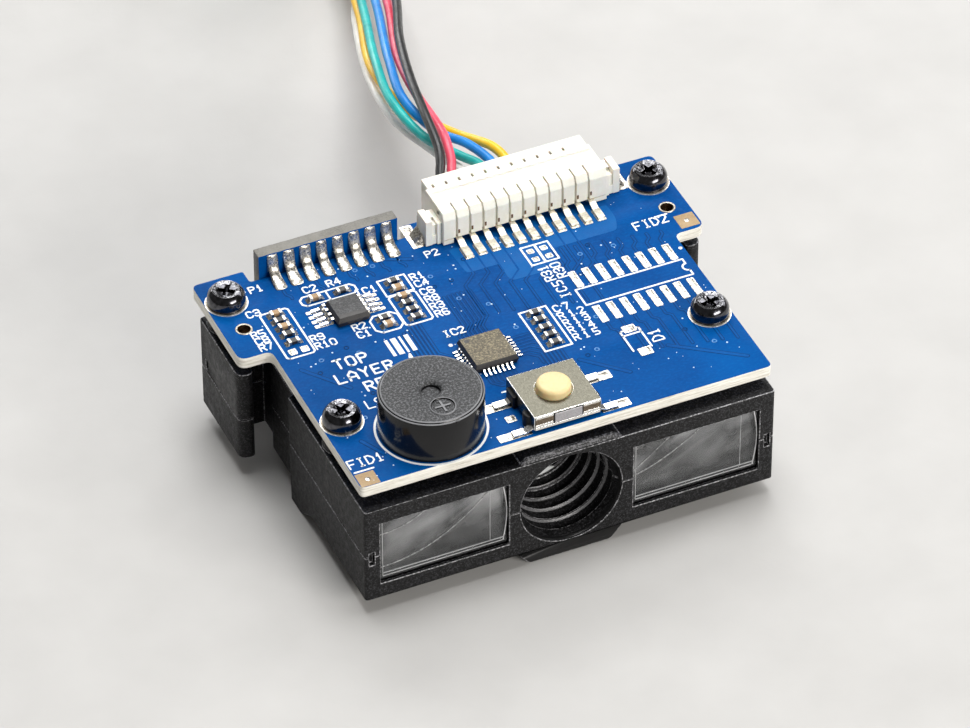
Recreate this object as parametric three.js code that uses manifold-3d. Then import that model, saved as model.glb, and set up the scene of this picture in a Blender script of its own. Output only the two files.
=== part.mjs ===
// Barcode scan engine: linear camera, two illumination windows, decoder board and wire harness.
// Millimetres, +Z up. Pieces are written in the board frame (x across the board from its centreline,
// y from its front edge, z from its top face); the exported group moves that frame onto the floor.
import * as THREE from 'three';
import { mergeVertices } from 'three/addons/utils/BufferGeometryUtils.js';
import Module from 'manifold-3d';

const wasm = await Module();
wasm.setup();

// ---- Driving dimensions -------------------------------------------------------------------
const REST = -13.6; // plane that the engine stands on, below the board's top face
const BOARD = { half: 18.85, wingHalf: 21.75, wingFront: 19.1, rear: 29.84, thick: 1.1 };
const NOTCH = { left: -17.0, right: -2.35, front: 28.3 }; // cut-out for the stand-up sensor board
const SCREWS = [
  { name: 'front_left', x: -17.0, y: 8.3 },
  { name: 'front_right', x: 17.0, y: 8.3 },
  { name: 'rear_left', x: -19.87, y: 26.55 },
  { name: 'rear_right', x: 19.87, y: 26.55 },
];
const SCREW = { head: 3.35, headHigh: 1.5, shank: 1.9, tip: -10.6, clearance: 2.5, post: 3.4 };
const PLATED_HOLE = { x: 19.85, y: 22.7, bore: 1.2 };

const SHELL = { half: 18.9, front: -0.65, rear: 28.25, top: -2.3, bottom: -12.1, seam: -7.35, gap: 0.1 };
const EAR = { outer: 21.75, inner: 20.3, front: 19.6, root: 24.0, bottom: -11.6 };
const BOSS = { front: -0.45, rear: 24, half: 5.2, top: -1.85, topHalf: 4.1, low: -13.6, lowHalf: 3.8 };
const AXIS_Z = -7.35; // height of the optical axis
const TUNNEL = { mouth: 4.7, radius: 4.25, throat: 3.2, rings: 7, rear: 8.8 };
const BARREL = { radius: 3.8, front: 9.0, rear: 15.3, bore: 2.9 };
const WINDOW = { inner: 5.75, outer: 17.5, low: -10.6, high: -3.95, face: -0.3, thick: 2.1 };
const LED_BAY = { inner: 6.3, outer: 17.0, rear: 6.2, low: -10.3, high: -4.2 };
const DARK_BOX = { half: 15.2, front: 15.4, low: -11.0, high: -3.5 };
const SENSOR_BOARD = { half: 16.1, front: 28.4, thick: 1.15, low: -12.2, high: -1.5 };
const SENSOR_TAB = { left: -16.1, right: -3.15, high: 2.35 };
const SENSOR = { half: 11, high: 3, thick: 2.2 };

const BUZZER = { x: -10.5, y: 4.6, radius: 4.5, high: 4.25, wall: 0.45, hole: 0.85 };
const SWITCH = { x: 0, y: 3.1, wide: 6.15, deep: 5.7, high: 1.8, plunger: 1.63, travel: 0.25 };
const HEADER = { left: 0.05, right: 15.55, front: 25.8, rear: 29.7, high: 3.4, ear: 1.45, earHigh: 2.7 };
const PLUG = { left: 0.3, right: 15.4, rear: 31.2, low: -0.1, high: 3.1, noseFront: 27.3 };
const CONTACTS = { first: 1.55, pitch: 1.25, count: 11 };

const WIRE = 0.85; // outer diameter of one insulated wire
const COIL = { x: 6, y: 96, radius: 8.5, half: 2.65, high: 4.9, top: 1.2 };
const LATCH = { x: 18.25, half: 0.25, low: -8.3, high: -6.9 }; // slots beside the windows
const EAR_SLOT = { front: 26.6, rear: 27.1, low: -7.2, high: -6.1 };
const TIE = { thick: 0.4, wide: 2.2, angle: (70 * Math.PI) / 180 };
const END_PLUG = { x: -8, y: 104.5, long: 6, wide: 9, high: 3.4 };

// ---- Solids and booleans --------------------------------------------------------------------
function solid(geometry) {
  const bare = geometry.clone();
  bare.deleteAttribute('normal');
  bare.deleteAttribute('uv');
  const merged = mergeVertices(bare, 1e-4);
  const numbers = { numProp: 3, vertProperties: merged.attributes.position.array };
  return new wasm.Manifold(new wasm.Mesh({ ...numbers, triVerts: new Uint32Array(merged.index.array) }));
}

function geometryOf(manifold) {
  const mesh = manifold.getMesh();
  const geometry = new THREE.BufferGeometry();
  geometry.setAttribute('position', new THREE.BufferAttribute(mesh.vertProperties, 3));
  geometry.setIndex(new THREE.BufferAttribute(mesh.triVerts, 1));
  return geometry;
}

const joined = (...geometries) => geometryOf(geometries.map(solid).reduce((a, b) => a.add(b)));

const cut = (geometry, ...tools) =>
  geometryOf(tools.map(solid).reduce((body, tool) => body.subtract(tool), solid(geometry)));

function box(x0, x1, y0, y1, z0, z1) {
  const geometry = new THREE.BoxGeometry(x1 - x0, y1 - y0, z1 - z0);
  return geometry.translate((x0 + x1) / 2, (y0 + y1) / 2, (z0 + z1) / 2);
}

function upright(radius, x, y, z0, z1, segments = 24) {
  const geometry = new THREE.CylinderGeometry(radius, radius, z1 - z0, segments);
  return geometry.rotateX(Math.PI / 2).translate(x, y, (z0 + z1) / 2);
}

// A lathe whose profile runs anticlockwise, so that its faces point outwards.
function lathe(profile, segments) {
  const points = profile.map(([r, h]) => new THREE.Vector2(r, h));
  if (THREE.ShapeUtils.area(points) < 0) points.reverse();
  return new THREE.LatheGeometry(points, segments);
}

// A profile of (radius, height) points turned about the vertical through (x, y).
function turned(profile, x, y, segments = 32) {
  return lathe(profile, segments).rotateX(Math.PI / 2).translate(x, y, 0);
}

// A profile of (radius, y) points turned about the optical axis.
function turnedOnAxis(profile, segments = 32) {
  return lathe(profile, segments).translate(0, 0, AXIS_Z);
}

// A plan outline of (x, y) corners, rounded where a corner names a radius, raised from z0 to z1.
function roundedShape(corners) {
  const shape = new THREE.Shape();
  const count = corners.length;
  corners.forEach(([x, y, radius = 0], i) => {
    const here = new THREE.Vector2(x, y);
    const [px, py] = corners[(i + count - 1) % count];
    const [nx, ny] = corners[(i + 1) % count];
    const before = new THREE.Vector2(px, py).sub(here).setLength(radius).add(here);
    const after = new THREE.Vector2(nx, ny).sub(here).setLength(radius).add(here);
    if (i === 0) shape.moveTo(before.x, before.y);
    else shape.lineTo(before.x, before.y);
    if (radius > 0) shape.quadraticCurveTo(x, y, after.x, after.y);
  });
  shape.closePath();
  return shape;
}

function plate(corners, z0, z1, holes = []) {
  const shape = roundedShape(corners);
  for (const [x, y, radius] of holes) {
    shape.holes.push(new THREE.Path().absarc(x, y, radius, 0, Math.PI * 2, true));
  }
  const options = { depth: z1 - z0, bevelEnabled: false, curveSegments: 4 };
  return new THREE.ExtrudeGeometry(shape, options).translate(0, 0, z0);
}

// A front-view outline of (x, z) corners carried along y.
function frontProfile(corners, y0, y1) {
  const options = { depth: y1 - y0, bevelEnabled: false, curveSegments: 4 };
  const geometry = new THREE.ExtrudeGeometry(roundedShape(corners), options);
  return geometry.rotateX(Math.PI / 2).translate(0, y1, 0);
}

// A side-view outline of (y, z) corners carried along x.
function sideProfile(corners, x0, x1) {
  const options = { depth: x1 - x0, bevelEnabled: false, curveSegments: 8 };
  const geometry = new THREE.ExtrudeGeometry(roundedShape(corners), options);
  return geometry.rotateX(Math.PI / 2).rotateZ(Math.PI / 2).translate(x0, 0, 0);
}

// ---- Scene graph ----------------------------------------------------------------------------
const engine = new THREE.Group();
engine.position.set(0, -(SHELL.front + BOARD.rear) / 2, -REST);

function add(name, geometry, color, roughness = 0.6, metalness = 0) {
  const mesh = new THREE.Mesh(geometry, new THREE.MeshStandardMaterial({ color, roughness, metalness }));
  mesh.name = name;
  engine.add(mesh);
  return mesh;
}

const MATTE_BLACK = 0x17181a;
const BOARD_BLUE = 0x0b62b4;
const NYLON = 0xefebe2;
const SHEET_METAL = 0xb9b4aa;

// ---- Boards ---------------------------------------------------------------------------------
function mainBoard() {
  const { half, wingHalf, wingFront, rear, thick } = BOARD;
  const corners = [
    [-half, 0, 0.4], [half, 0, 0.4], [half, wingFront, 0.5], [wingHalf, wingFront, 0.9],
    [wingHalf, rear, 0.6], [NOTCH.right, rear], [NOTCH.right, NOTCH.front], [NOTCH.left, NOTCH.front],
    [NOTCH.left, rear], [-wingHalf, rear, 0.6], [-wingHalf, wingFront, 0.9], [-half, wingFront, 0.5],
  ];
  const holes = SCREWS.map(({ x, y }) => [x, y, SCREW.clearance / 2]);
  for (const side of [-1, 1]) holes.push([side * PLATED_HOLE.x, PLATED_HOLE.y, PLATED_HOLE.bore / 2]);
  add('main_board', plate(corners, -thick, 0, holes), BOARD_BLUE, 0.35);
}

function sensorBoard() {
  const { half, front, thick, low, high } = SENSOR_BOARD;
  const { left, right, high: tab } = SENSOR_TAB;
  const corners = [[-half, low], [half, low], [half, high], [right, high], [right, tab], [left, tab]];
  add('sensor_board', frontProfile(corners, front, front + thick), BOARD_BLUE, 0.35);
}

// ---- Housing --------------------------------------------------------------------------------
function housingOutline() {
  const { half, front, rear } = SHELL;
  const { outer, inner, root } = EAR;
  const right = [
    [half, front, 0.3], [half, 15.5], [18.4, 15.7], [18.4, 20.8, 0.5], [17.7, 21.3], [17.7, root],
    [inner, root], [inner, EAR.front, 0.5], [outer, EAR.front, 0.9], [outer, rear, 0.3],
  ];
  const left = right.map(([x, y, r]) => [-x, y, r]).reverse();
  return [...right, ...left];
}

// The octagonal nose round the viewing tunnel.
function nose(z0, z1) {
  const { front, rear, half, top, topHalf, low, lowHalf } = BOSS;
  const upper = [[half, z0], [half, -2.9, 0.3], [topHalf, top, 0.3]];
  const lower = [[half, z1], [half, -11.9, 0.3], [lowHalf, low, 0.3]];
  const side = z1 > SHELL.seam ? upper : lower;
  const mirrored = side.map(([x, z, r]) => [-x, z, r]).reverse();
  const corners = [...side, ...mirrored];
  return frontProfile(z1 > SHELL.seam ? corners : corners.reverse(), front, rear);
}

function tunnelBore() {
  const { mouth, radius, throat, rings, rear } = TUNNEL;
  const start = 0.5;
  const pitch = (rear - start) / rings;
  const profile = [[0, BOSS.front - 1], [mouth, BOSS.front - 1], [mouth, BOSS.front + 0.2]];
  for (let ring = 0; ring < rings; ring += 1) {
    const edge = radius + ((throat - radius) * ring) / (rings - 1);
    const y = start + ring * pitch;
    profile.push([edge, y], [edge + 0.35, y + 0.12], [edge + 0.1, y + pitch - 0.05]);
  }
  const { radius: seat, rear: back } = BARREL;
  profile.push([throat, rear], [seat + 0.05, rear + 0.1], [seat + 0.05, back + 0.5], [0, back + 0.5]);
  return turnedOnAxis(profile, 36);
}

function bays() {
  const { inner, outer, low, high, face, thick } = WINDOW;
  const bay = LED_BAY;
  const dark = DARK_BOX;
  const spaces = [box(-dark.half, dark.half, dark.front, SHELL.rear + 1, dark.low, dark.high)];
  for (const side of [-1, 1]) {
    const span = (a, b) => (side > 0 ? [a, b] : [-b, -a]);
    spaces.push(box(...span(inner, outer), SHELL.front - 1, face + 0.1, low, high));
    spaces.push(box(...span(inner - 0.3, outer + 0.3), face - 0.02, face + thick, low - 0.02, high + 0.3));
    spaces.push(box(...span(bay.inner, bay.outer), face + thick - 0.1, bay.rear, bay.low, bay.high));
  }
  return spaces;
}

function screwHoles() {
  return SCREWS.map(({ x, y }) => upright(SCREW.clearance / 2, x, y, SCREW.tip - 0.3, 0, 20));
}

// Small open slots where the two shells latch, beside the windows and on the ears.
function latchSlots() {
  const slots = [];
  for (const side of [-1, 1]) {
    const x = side * LATCH.x;
    const { half } = LATCH;
    slots.push(box(x - half, x + half, SHELL.front - 1, SHELL.front + 0.5, LATCH.low, LATCH.high));
    const ear = side * EAR.outer;
    slots.push(box(ear - 0.4, ear + 0.4, EAR_SLOT.front, EAR_SLOT.rear, EAR_SLOT.low, EAR_SLOT.high));
  }
  return slots;
}

function upperHousing() {
  const { top, seam, gap } = SHELL;
  const z0 = seam + gap / 2;
  const posts = SCREWS.map(({ x, y }) => upright(SCREW.post / 2, x, y, top - 0.5, -BOARD.thick));
  const earClip = [-1, 1].map((s) => box(s * 24 - 2.8, s * 24 + 2.8, 15, 32, -1.05, 0));
  const body = joined(plate(housingOutline(), z0, top), nose(z0, BOSS.top), ...posts);
  const hollow = [...bays(), tunnelBore(), ...screwHoles(), ...latchSlots(), ...earClip];
  add('upper_housing', cut(body, ...hollow), MATTE_BLACK, 0.75);
}

function lowerHousing() {
  const { half, bottom, seam, gap } = SHELL;
  const z1 = seam - gap / 2;
  const foot = [[10.5, bottom + 0.3], [13.4, REST], [15.4, REST], [15.4, bottom + 0.3]];
  const feet = [-1, 1].map((s) => sideProfile(foot, s > 0 ? half - 4 : -half, s > 0 ? half : 4 - half));
  const body = joined(plate(housingOutline(), bottom, z1), nose(BOSS.low, z1), ...feet);
  const underEars = [-1, 1].map((s) => box(s * 24 - 4.5, s * 24 + 4.5, 19, 32, bottom - 1, EAR.bottom));
  const hollow = [...bays(), tunnelBore(), ...screwHoles(), ...latchSlots(), ...underEars];
  add('lower_housing', cut(body, ...hollow), MATTE_BLACK, 0.75);
}

// ---- Optics ---------------------------------------------------------------------------------
// A plano-convex bar: flat towards the viewer, curved towards the LEDs.
function windowLenses() {
  const { inner, outer, low, high, face, thick } = WINDOW;
  const [z0, z1] = [low + 0.1, high + 0.2];
  const bar = new THREE.Shape();
  bar.moveTo(face, z0);
  bar.lineTo(face + 0.9, z0);
  bar.quadraticCurveTo(face + 2 * thick - 1.1, (z0 + z1) / 2, face + 0.9, z1);
  bar.lineTo(face, z1);
  bar.closePath();
  const options = { depth: outer - inner + 0.4, bevelEnabled: false, curveSegments: 8 };
  for (const [name, start] of [['window_left', -outer - 0.2], ['window_right', inner - 0.2]]) {
    const geometry = new THREE.ExtrudeGeometry(bar, options);
    geometry.rotateX(Math.PI / 2).rotateZ(Math.PI / 2).translate(start, 0, 0);
    add(name, geometry, 0xdfe6ea, 0.08);
  }
}

function cameraLens() {
  const { radius, front, rear, bore } = BARREL;
  const shoulder = bore - 0.5;
  const tube = [
    [shoulder, front + 2.6], [bore, front + 2.6], [bore, front], [radius, front], [radius, rear],
    [bore, rear], [bore, rear - 2.4], [shoulder, rear - 2.4], [shoulder, front + 2.6],
  ];
  add('lens_barrel', turnedOnAxis(tube), 0x1b1b1d, 0.5, 0.3);
  const lens = (y, thick, bulge) => [
    [0, y - bulge], [bore * 0.5, y - bulge * 0.75], [bore - 0.05, y], [bore - 0.05, y + thick],
    [bore * 0.5, y + thick + bulge * 0.4], [0, y + thick + bulge * 0.5],
  ];
  add('lens_front', turnedOnAxis(lens(front + 1.3, 0.7, 0.45)), 0x9fb3c0, 0.05);
  add('lens_rear', turnedOnAxis(lens(rear - 2.05, 0.7, 0.25)), 0x9fb3c0, 0.05);
  const ring = (y0, y1, r0, r1) => [[r0, y0], [r1, y0], [r1, y1], [r0, y1], [r0, y0]];
  add('aperture_stop', turnedOnAxis(ring(front + 2.65, front + 2.85, 0.8, shoulder - 0.05)), 0x0d0d0e, 0.8);
  add('retaining_ring', turnedOnAxis(ring(front + 0.15, front + 0.75, 2.0, bore - 0.05)), 0x202022, 0.4, 0.6);
}

function lineSensor() {
  const { half, high, thick } = SENSOR;
  const back = SENSOR_BOARD.front;
  const z0 = AXIS_Z - high;
  const z1 = AXIS_Z + high;
  const well = box(-half + 1.6, half - 1.6, back - thick - 1, back - thick + 1.1, AXIS_Z - 1.6, AXIS_Z + 1.6);
  const body = cut(box(-half, half, back - thick, back, z0, z1), well);
  add('sensor_package', body, 0x3a332c, 0.6);
  const glass = [back - thick + 0.1, back - thick + 0.7];
  add('sensor_glass', box(-half + 1.7, half - 1.7, ...glass, AXIS_Z - 1.5, AXIS_Z + 1.5), 0xb8c8cc, 0.05);
}

function illumination() {
  for (const [side, sign] of [['left', -1], ['right', 1]]) {
    const middle = sign * (LED_BAY.inner + LED_BAY.outer) / 2;
    const half = 5.1;
    const face = LED_BAY.rear - 1.1;
    const carrier = box(middle - half, middle + half, face, face + 0.8, LED_BAY.low + 0.3, LED_BAY.high - 0.3);
    add(`led_board_${side}`, carrier, 0x1c5a34, 0.4);
    for (const [place, shift] of [['inner', -2.6], ['outer', 2.6]]) {
      const x = middle + sign * shift;
      const chip = box(x - 1.4, x + 1.4, face - 1.0, face, AXIS_Z - 1.75, AXIS_Z + 1.75);
      const dome = new THREE.SphereGeometry(1.1, 16, 8).translate(x, face - 1.2, AXIS_Z);
      add(`led_${side}_${place}`, joined(chip, dome), 0xd8452f, 0.2);
    }
  }
}

// ---- Fasteners ------------------------------------------------------------------------------
function boardScrews() {
  const { head, headHigh, shank, tip } = SCREW;
  for (const { name, x, y } of SCREWS) {
    const r = head / 2;
    const profile = [
      [0, tip], [0.25, tip], [shank / 2, tip + 1], [shank / 2, 0.02], [r, 0.02], [r, headHigh * 0.55],
      [r * 0.86, headHigh * 0.88], [r * 0.6, headHigh], [0, headHigh],
    ];
    const cross = [0, 1].map((turn) => {
      const slot = box(-1.0, 1.0, -0.2, 0.2, headHigh - 0.75, headHigh + 0.5);
      return slot.rotateZ(0.3 + (turn * Math.PI) / 2).translate(x, y, 0);
    });
    add(`board_screw_${name}`, cut(turned(profile, x, y, 24), ...cross), 0x141416, 0.2, 0.8);
  }
}

// ---- Buzzer ---------------------------------------------------------------------------------
function buzzer() {
  const { x, y, radius, high, wall, hole } = BUZZER;
  const inner = radius - wall;
  const cap = [
    [hole, high], [radius - 0.2, high], [radius, high - 0.2], [radius, 0.05], [inner, 0.05],
    [inner, high - wall], [hole, high - wall], [hole, high],
  ];
  add('buzzer_case', turned(cap, x, y), 0x252527, 0.5);
  add('buzzer_base', turned([[0, 0.05], [inner - 0.05, 0.05], [inner - 0.05, 0.55], [0, 0.55]], x, y), 0x2c2c2e);
  const tube = (r0, r1, z0, z1) => turned([[r0, z0], [r1, z0], [r1, z1], [r0, z1], [r0, z0]], x, y, 28);
  add('buzzer_magnet', tube(2.9, 3.7, 0.6, 2.0), 0x4a4a4c, 0.5, 0.4);
  add('buzzer_coil', tube(0.75, 2.3, 0.6, 2.0), 0x9c5a2a, 0.4, 0.6);
  const disc = turned([[0, 2.45], [3.7, 2.45], [3.7, 2.6], [0, 2.6]], x, y, 28);
  add('buzzer_diaphragm', disc, 0x9a9a98, 0.3, 0.9);
}

// ---- Push button ----------------------------------------------------------------------------
function pushButton() {
  const { x, y, wide, deep, high, plunger } = SWITCH;
  const [w, d] = [wide / 2, deep / 2];
  const outer = box(x - w + 0.25, x + w - 0.25, y - d + 0.2, y + d - 0.2, 0.05, 1.0);
  const cup = upright(2.3, x, y, 0.35, 1.2);
  add('switch_base', cut(outer, cup), 0x1d1d1f, 0.6);
  const skin = box(x - w, x + w, y - d, y + d, 0.35, high);
  const inside = box(x - w + 0.2, x + w - 0.2, y - d + 0.15, y + d - 0.15, 0, high - 0.2);
  const window = upright(plunger + 0.08, x, y, 1, 3);
  add('switch_cover', cut(skin, inside, window), SHEET_METAL, 0.35, 0.85);
  const dome = [[0, 0.72], [1.2, 0.62], [2.15, 0.37], [2.15, 0.45], [1.2, 0.7], [0, 0.8]];
  add('switch_dome', turned(dome, x, y, 24), 0xc0c0bc, 0.3, 0.9);
  const button = [
    [0, 1.12], [2.1, 1.12], [2.1, 1.5], [plunger, 1.5], [plunger, 2.35], [plunger - 0.15, 2.5], [0, 2.5],
  ];
  add('switch_plunger', turned(button, x, y, 32), 0xf3ebc8, 0.45);
}

// ---- Connector ------------------------------------------------------------------------------
function header() {
  const { left, right, front, rear, high, ear, earHigh } = HEADER;
  const shell = box(left, right, front, rear, 0.05, high);
  const ears = [
    box(left - ear, left + 0.2, front + 0.4, rear - 1.4, 0.05, earHigh),
    box(right - 0.2, right + ear, front + 0.4, rear - 1.4, 0.05, earHigh),
  ];
  const socket = box(left + 0.8, right - 0.8, front + 1.1, rear + 1, 0.45, high - 0.45);
  const pockets = [
    box(left - ear + 0.45, left - 0.3, front + 1.1, rear, 0.6, high),
    box(right + 0.3, right + ear - 0.45, front + 1.1, rear, 0.6, high),
  ];
  const slits = Array.from({ length: CONTACTS.count }, (_, i) => {
    const x = CONTACTS.first + i * CONTACTS.pitch - 0.25;
    return box(x - 0.09, x + 0.09, front - 1, front + 0.35, -1, high - 0.15);
  });
  add('header_housing', cut(joined(shell, ...ears), socket, ...pockets, ...slits), NYLON, 0.5);
  const tab = (x0, x1) => box(x0, x1, front + 1.3, rear - 1.6, 0.62, earHigh - 0.2);
  add('header_tab_left', tab(left - ear + 0.6, left - 0.45), SHEET_METAL, 0.3, 0.9);
  add('header_tab_right', tab(right + 0.45, right + ear - 0.6), SHEET_METAL, 0.3, 0.9);
}

function plug() {
  const { left, right, rear, low, high, noseFront } = PLUG;
  const body = frontProfile(
    [[left, low], [right, low], [right, high, 0.3], [left, high, 0.3]], HEADER.rear + 0.2, rear,
  );
  const insert = box(left + 0.65, right - 0.75, noseFront, HEADER.rear + 0.5, 0.65, HEADER.high - 0.65);
  add('plug_housing', joined(body, insert), NYLON, 0.5);
}

// ---- Chips ----------------------------------------------------------------------------------
function chips() {
  const rounded = (cx, cy, w, d) => [
    [cx - w / 2, cy - d / 2, 0.1], [cx + w / 2, cy - d / 2, 0.1],
    [cx + w / 2, cy + d / 2, 0.1], [cx - w / 2, cy + d / 2, 0.1],
  ];
  add('decoder_chip', plate(rounded(-2.4, 11.15, 4, 4), 0.05, 0.9), 0x6d6a66, 0.7);
  add('amplifier_chip', plate(rounded(-11.05, 20.9, 3, 3), 0.05, 0.95), 0x6d6a66, 0.7);
}

// ---- Harness --------------------------------------------------------------------------------
// Each wire runs from the plug's rear face, over the board's rear edge and down towards the coil.
const WIRES = {
  black: [0x151516, [[2.8, 31.5, 1.5], [2.87, 32.9, 1.5], [3.4, 34, 1.9], [3.95, 35.6, 2.2], [4.8, 40.5, 2.4],
    [5.98, 46.2, 1.7], [8.18, 53.8, 0.2], [12, 63.5, -3], [16.2, 77, -7.4], [16.2, 86.5, -9.2]]],
  red: [0xe8506a, [[4.05, 31.5, 1.5], [3.95, 32.9, 1.5], [4.5, 34.1, 1.7], [5.22, 37.1, 2], [5.7, 40, 1.4],
    [6.1, 45.6, 0.7], [7.25, 52, -0.4], [11.5, 64.2, -4.1], [15.2, 77, -8.3], [15.2, 86.5, -9.6]]],
  blue: [0x0d86dc, [[7.8, 31.5, 1.5], [7.87, 33.2, 1.4], [7.17, 36.6, 1.1], [5.8, 40.3, 0.3], [4.87, 45.3, 0.5],
    [6.3, 51.9, -0.2], [10.5, 64.6, -4], [14.1, 77, -8.4], [14.2, 86.5, -9.5]]],
  teal: [0x11b5b0, [[6.55, 31.5, 1.5], [6.8, 33.4, 1.3], [6, 35.4, 1], [4.5, 40.2, 0.2], [4.02, 46.2, 0.1],
    [5.4, 52.8, -0.7], [9.4, 64.9, -4.6], [13, 77, -8.6], [13.2, 86.5, -10]]],
  yellow: [0xf2c81e, [[9.05, 31.5, 1.5], [9.12, 33.2, 1.5], [8.8, 34.9, 1.5], [7.3, 40.5, -0.4], [5.5, 46.6, -1.6],
    [5.25, 53, -1.9], [9.5, 66.2, -6], [12.5, 77, -9.5], [13.2, 86.5, -11.1]]],
  white: [0xe9e7e2, [[5.3, 31.5, 1.5], [5.6, 34.6, 0.2], [5.06, 40.1, -1.2], [4.27, 45.8, -2.1],
    [4.95, 52.8, -3], [9.6, 67.3, -7.5], [13.6, 77, -10.8], [14.3, 86.5, -11.5]]],
};

function wires() {
  const section = new THREE.Shape();
  for (let side = 0; side < 8; side += 1) {
    const angle = ((side + 0.5) * Math.PI) / 4;
    const point = [Math.cos(angle) * WIRE / 2, Math.sin(angle) * WIRE / 2];
    if (side === 0) section.moveTo(...point);
    else section.lineTo(...point);
  }
  section.closePath();
  for (const [name, [color, route]] of Object.entries(WIRES)) {
    const extrudePath = new THREE.CatmullRomCurve3(route.map((p) => new THREE.Vector3(...p)));
    const geometry = new THREE.ExtrudeGeometry(section, { steps: 26, extrudePath, bevelEnabled: false });
    add(`wire_${name}`, geometry, color, 0.45);
  }
}

// The section of three bundles of wire, two side by side and one on them, as (x, z) corners.
function coilSection(grow) {
  const half = COIL.half + grow;
  const top = COIL.top + grow * 0.6;
  const [low, high] = [REST + TIE.thick - grow, REST + TIE.thick + COIL.high + grow];
  const right = [[half - 0.8, low, 0.3], [half, low + 0.8, 0.3], [half, low + 2.1, 0.4], [top, high, 0.5]];
  const left = right.map(([x, z, r]) => [-x, z, r]).reverse();
  return [...right, ...left];
}

function coilAndTie() {
  const { x, y, radius } = COIL;
  const section = coilSection(-0.15).map(([r, z]) => [radius + r, z]);
  add('harness_coil', turned([...section, section[0]], x, y, 36), 0x5a6a78, 0.5);
  const { thick, wide, angle } = TIE;
  const band = frontProfile(coilSection(thick), -wide / 2, wide / 2);
  const inside = frontProfile(coilSection(0.05), -wide, wide);
  const side = COIL.half + thick;
  const lock = box(side - 0.1, side + 1.3, -1.6, 1.6, REST + 1.2, REST + 3.4);
  const tie = cut(joined(band, lock), inside).rotateZ(angle);
  tie.translate(x + radius * Math.cos(angle), y + radius * Math.sin(angle), 0);
  add('harness_tie', tie, 0xe4e1da, 0.5);
}

function harnessEnd() {
  const { x, y, long, wide, high } = END_PLUG;
  const z = REST;
  const start = COIL.x - COIL.radius - 0.3;
  const fan = [[start, y + 1.5], [x + 0.3, y + 3.5], [x + 0.3, y - 3.5], [start, y - 1.5]];
  add('harness_tail', plate(fan, z + 1.2, z + 2.4), 0x5a6a78, 0.5);
  const body = plate(
    [[x - long, y - wide / 2, 0.4], [x, y - wide / 2, 0.4], [x, y + wide / 2, 0.4], [x - long, y + wide / 2, 0.4]],
    z, z + high,
  );
  const slots = Array.from({ length: 6 }, (_, i) => {
    const at = y + (i - 2.5) * CONTACTS.pitch;
    return box(x - long - 1, x - long + 2.5, at - 0.3, at + 0.3, z + 1.1, z + 2.2);
  });
  add('harness_connector', cut(body, ...slots), NYLON, 0.5);
}

mainBoard();
sensorBoard();
upperHousing();
lowerHousing();
windowLenses();
cameraLens();
lineSensor();
illumination();
boardScrews();
buzzer();
pushButton();
header();
plug();
chips();
wires();
coilAndTie();
harnessEnd();

export default engine;
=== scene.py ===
"""Looks of the barcode scan engine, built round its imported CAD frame.

Sizes are millimetres in the board frame: x across the board from its centreline, y back from its
front edge, z up from its top face. ORIGIN places that frame in the row frame, in metres.
"""
import math
import random

import bpy
import bmesh
from mathutils import Matrix, Vector


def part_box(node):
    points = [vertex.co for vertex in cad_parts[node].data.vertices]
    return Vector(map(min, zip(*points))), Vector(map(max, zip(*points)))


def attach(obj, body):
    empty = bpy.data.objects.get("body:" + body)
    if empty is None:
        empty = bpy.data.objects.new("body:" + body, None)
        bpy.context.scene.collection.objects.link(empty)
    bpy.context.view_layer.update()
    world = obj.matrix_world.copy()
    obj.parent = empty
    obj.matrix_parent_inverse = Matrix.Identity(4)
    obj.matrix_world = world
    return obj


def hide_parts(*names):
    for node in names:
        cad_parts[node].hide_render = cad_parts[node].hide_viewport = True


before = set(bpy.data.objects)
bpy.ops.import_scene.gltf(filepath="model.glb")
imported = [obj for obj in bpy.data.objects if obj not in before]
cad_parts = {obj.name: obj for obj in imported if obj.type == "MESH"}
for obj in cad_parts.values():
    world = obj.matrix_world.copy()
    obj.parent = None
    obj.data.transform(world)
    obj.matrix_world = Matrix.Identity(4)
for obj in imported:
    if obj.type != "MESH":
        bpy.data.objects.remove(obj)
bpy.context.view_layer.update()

MM = 0.001
TAU = 2 * math.pi
BOARD_LOW, BOARD_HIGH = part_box("main_board")
ORIGIN = Vector(((BOARD_LOW.x + BOARD_HIGH.x) / 2, BOARD_LOW.y, BOARD_HIGH.z))


def at(x, y, z=0.0):
    return ORIGIN + Vector((x, y, z)) * MM


def span(node):
    """A CAD node's lowest and highest corners, in board millimetres."""
    low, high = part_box(node)
    return (low - ORIGIN) / MM, (high - ORIGIN) / MM


def middle(node):
    """A CAD node's centre and half its size, in board millimetres."""
    low, high = span(node)
    return (low + high) / 2, (high - low) / 2


def series(first, step, count):
    return [first + step * k for k in range(count)]


def placed(name, data):
    """A new object in the scene."""
    item = bpy.data.objects.new(name, data)
    bpy.context.scene.collection.objects.link(item)
    return item


# ---- Camera ----
AZIMUTH, ELEVATION, ROLL = (math.radians(a) for a in (-24.1403, 40.5643, -0.1415))
TARGET = at(-3.0976, 10.1601)
DISTANCE = 0.53138
LENS = 234.24


def make_camera():
    flat = math.cos(ELEVATION)
    back = Vector((math.sin(AZIMUTH) * flat, -math.cos(AZIMUTH) * flat, math.sin(ELEVATION)))
    right = Vector((0, 0, 1)).cross(back).normalized()
    up = back.cross(right)
    c, s = math.cos(ROLL), math.sin(ROLL)
    right, up = c * right + s * up, c * up - s * right
    data = bpy.data.cameras.new("camera")
    data.lens, data.sensor_width = LENS, 36
    data.clip_start, data.clip_end = 0.01, 10
    camera = placed("camera", data)
    axes = Matrix((right, up, back)).transposed().to_4x4()
    camera.matrix_world = Matrix.Translation(TARGET + back * DISTANCE) @ axes
    bpy.context.scene.camera = camera


make_camera()


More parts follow.
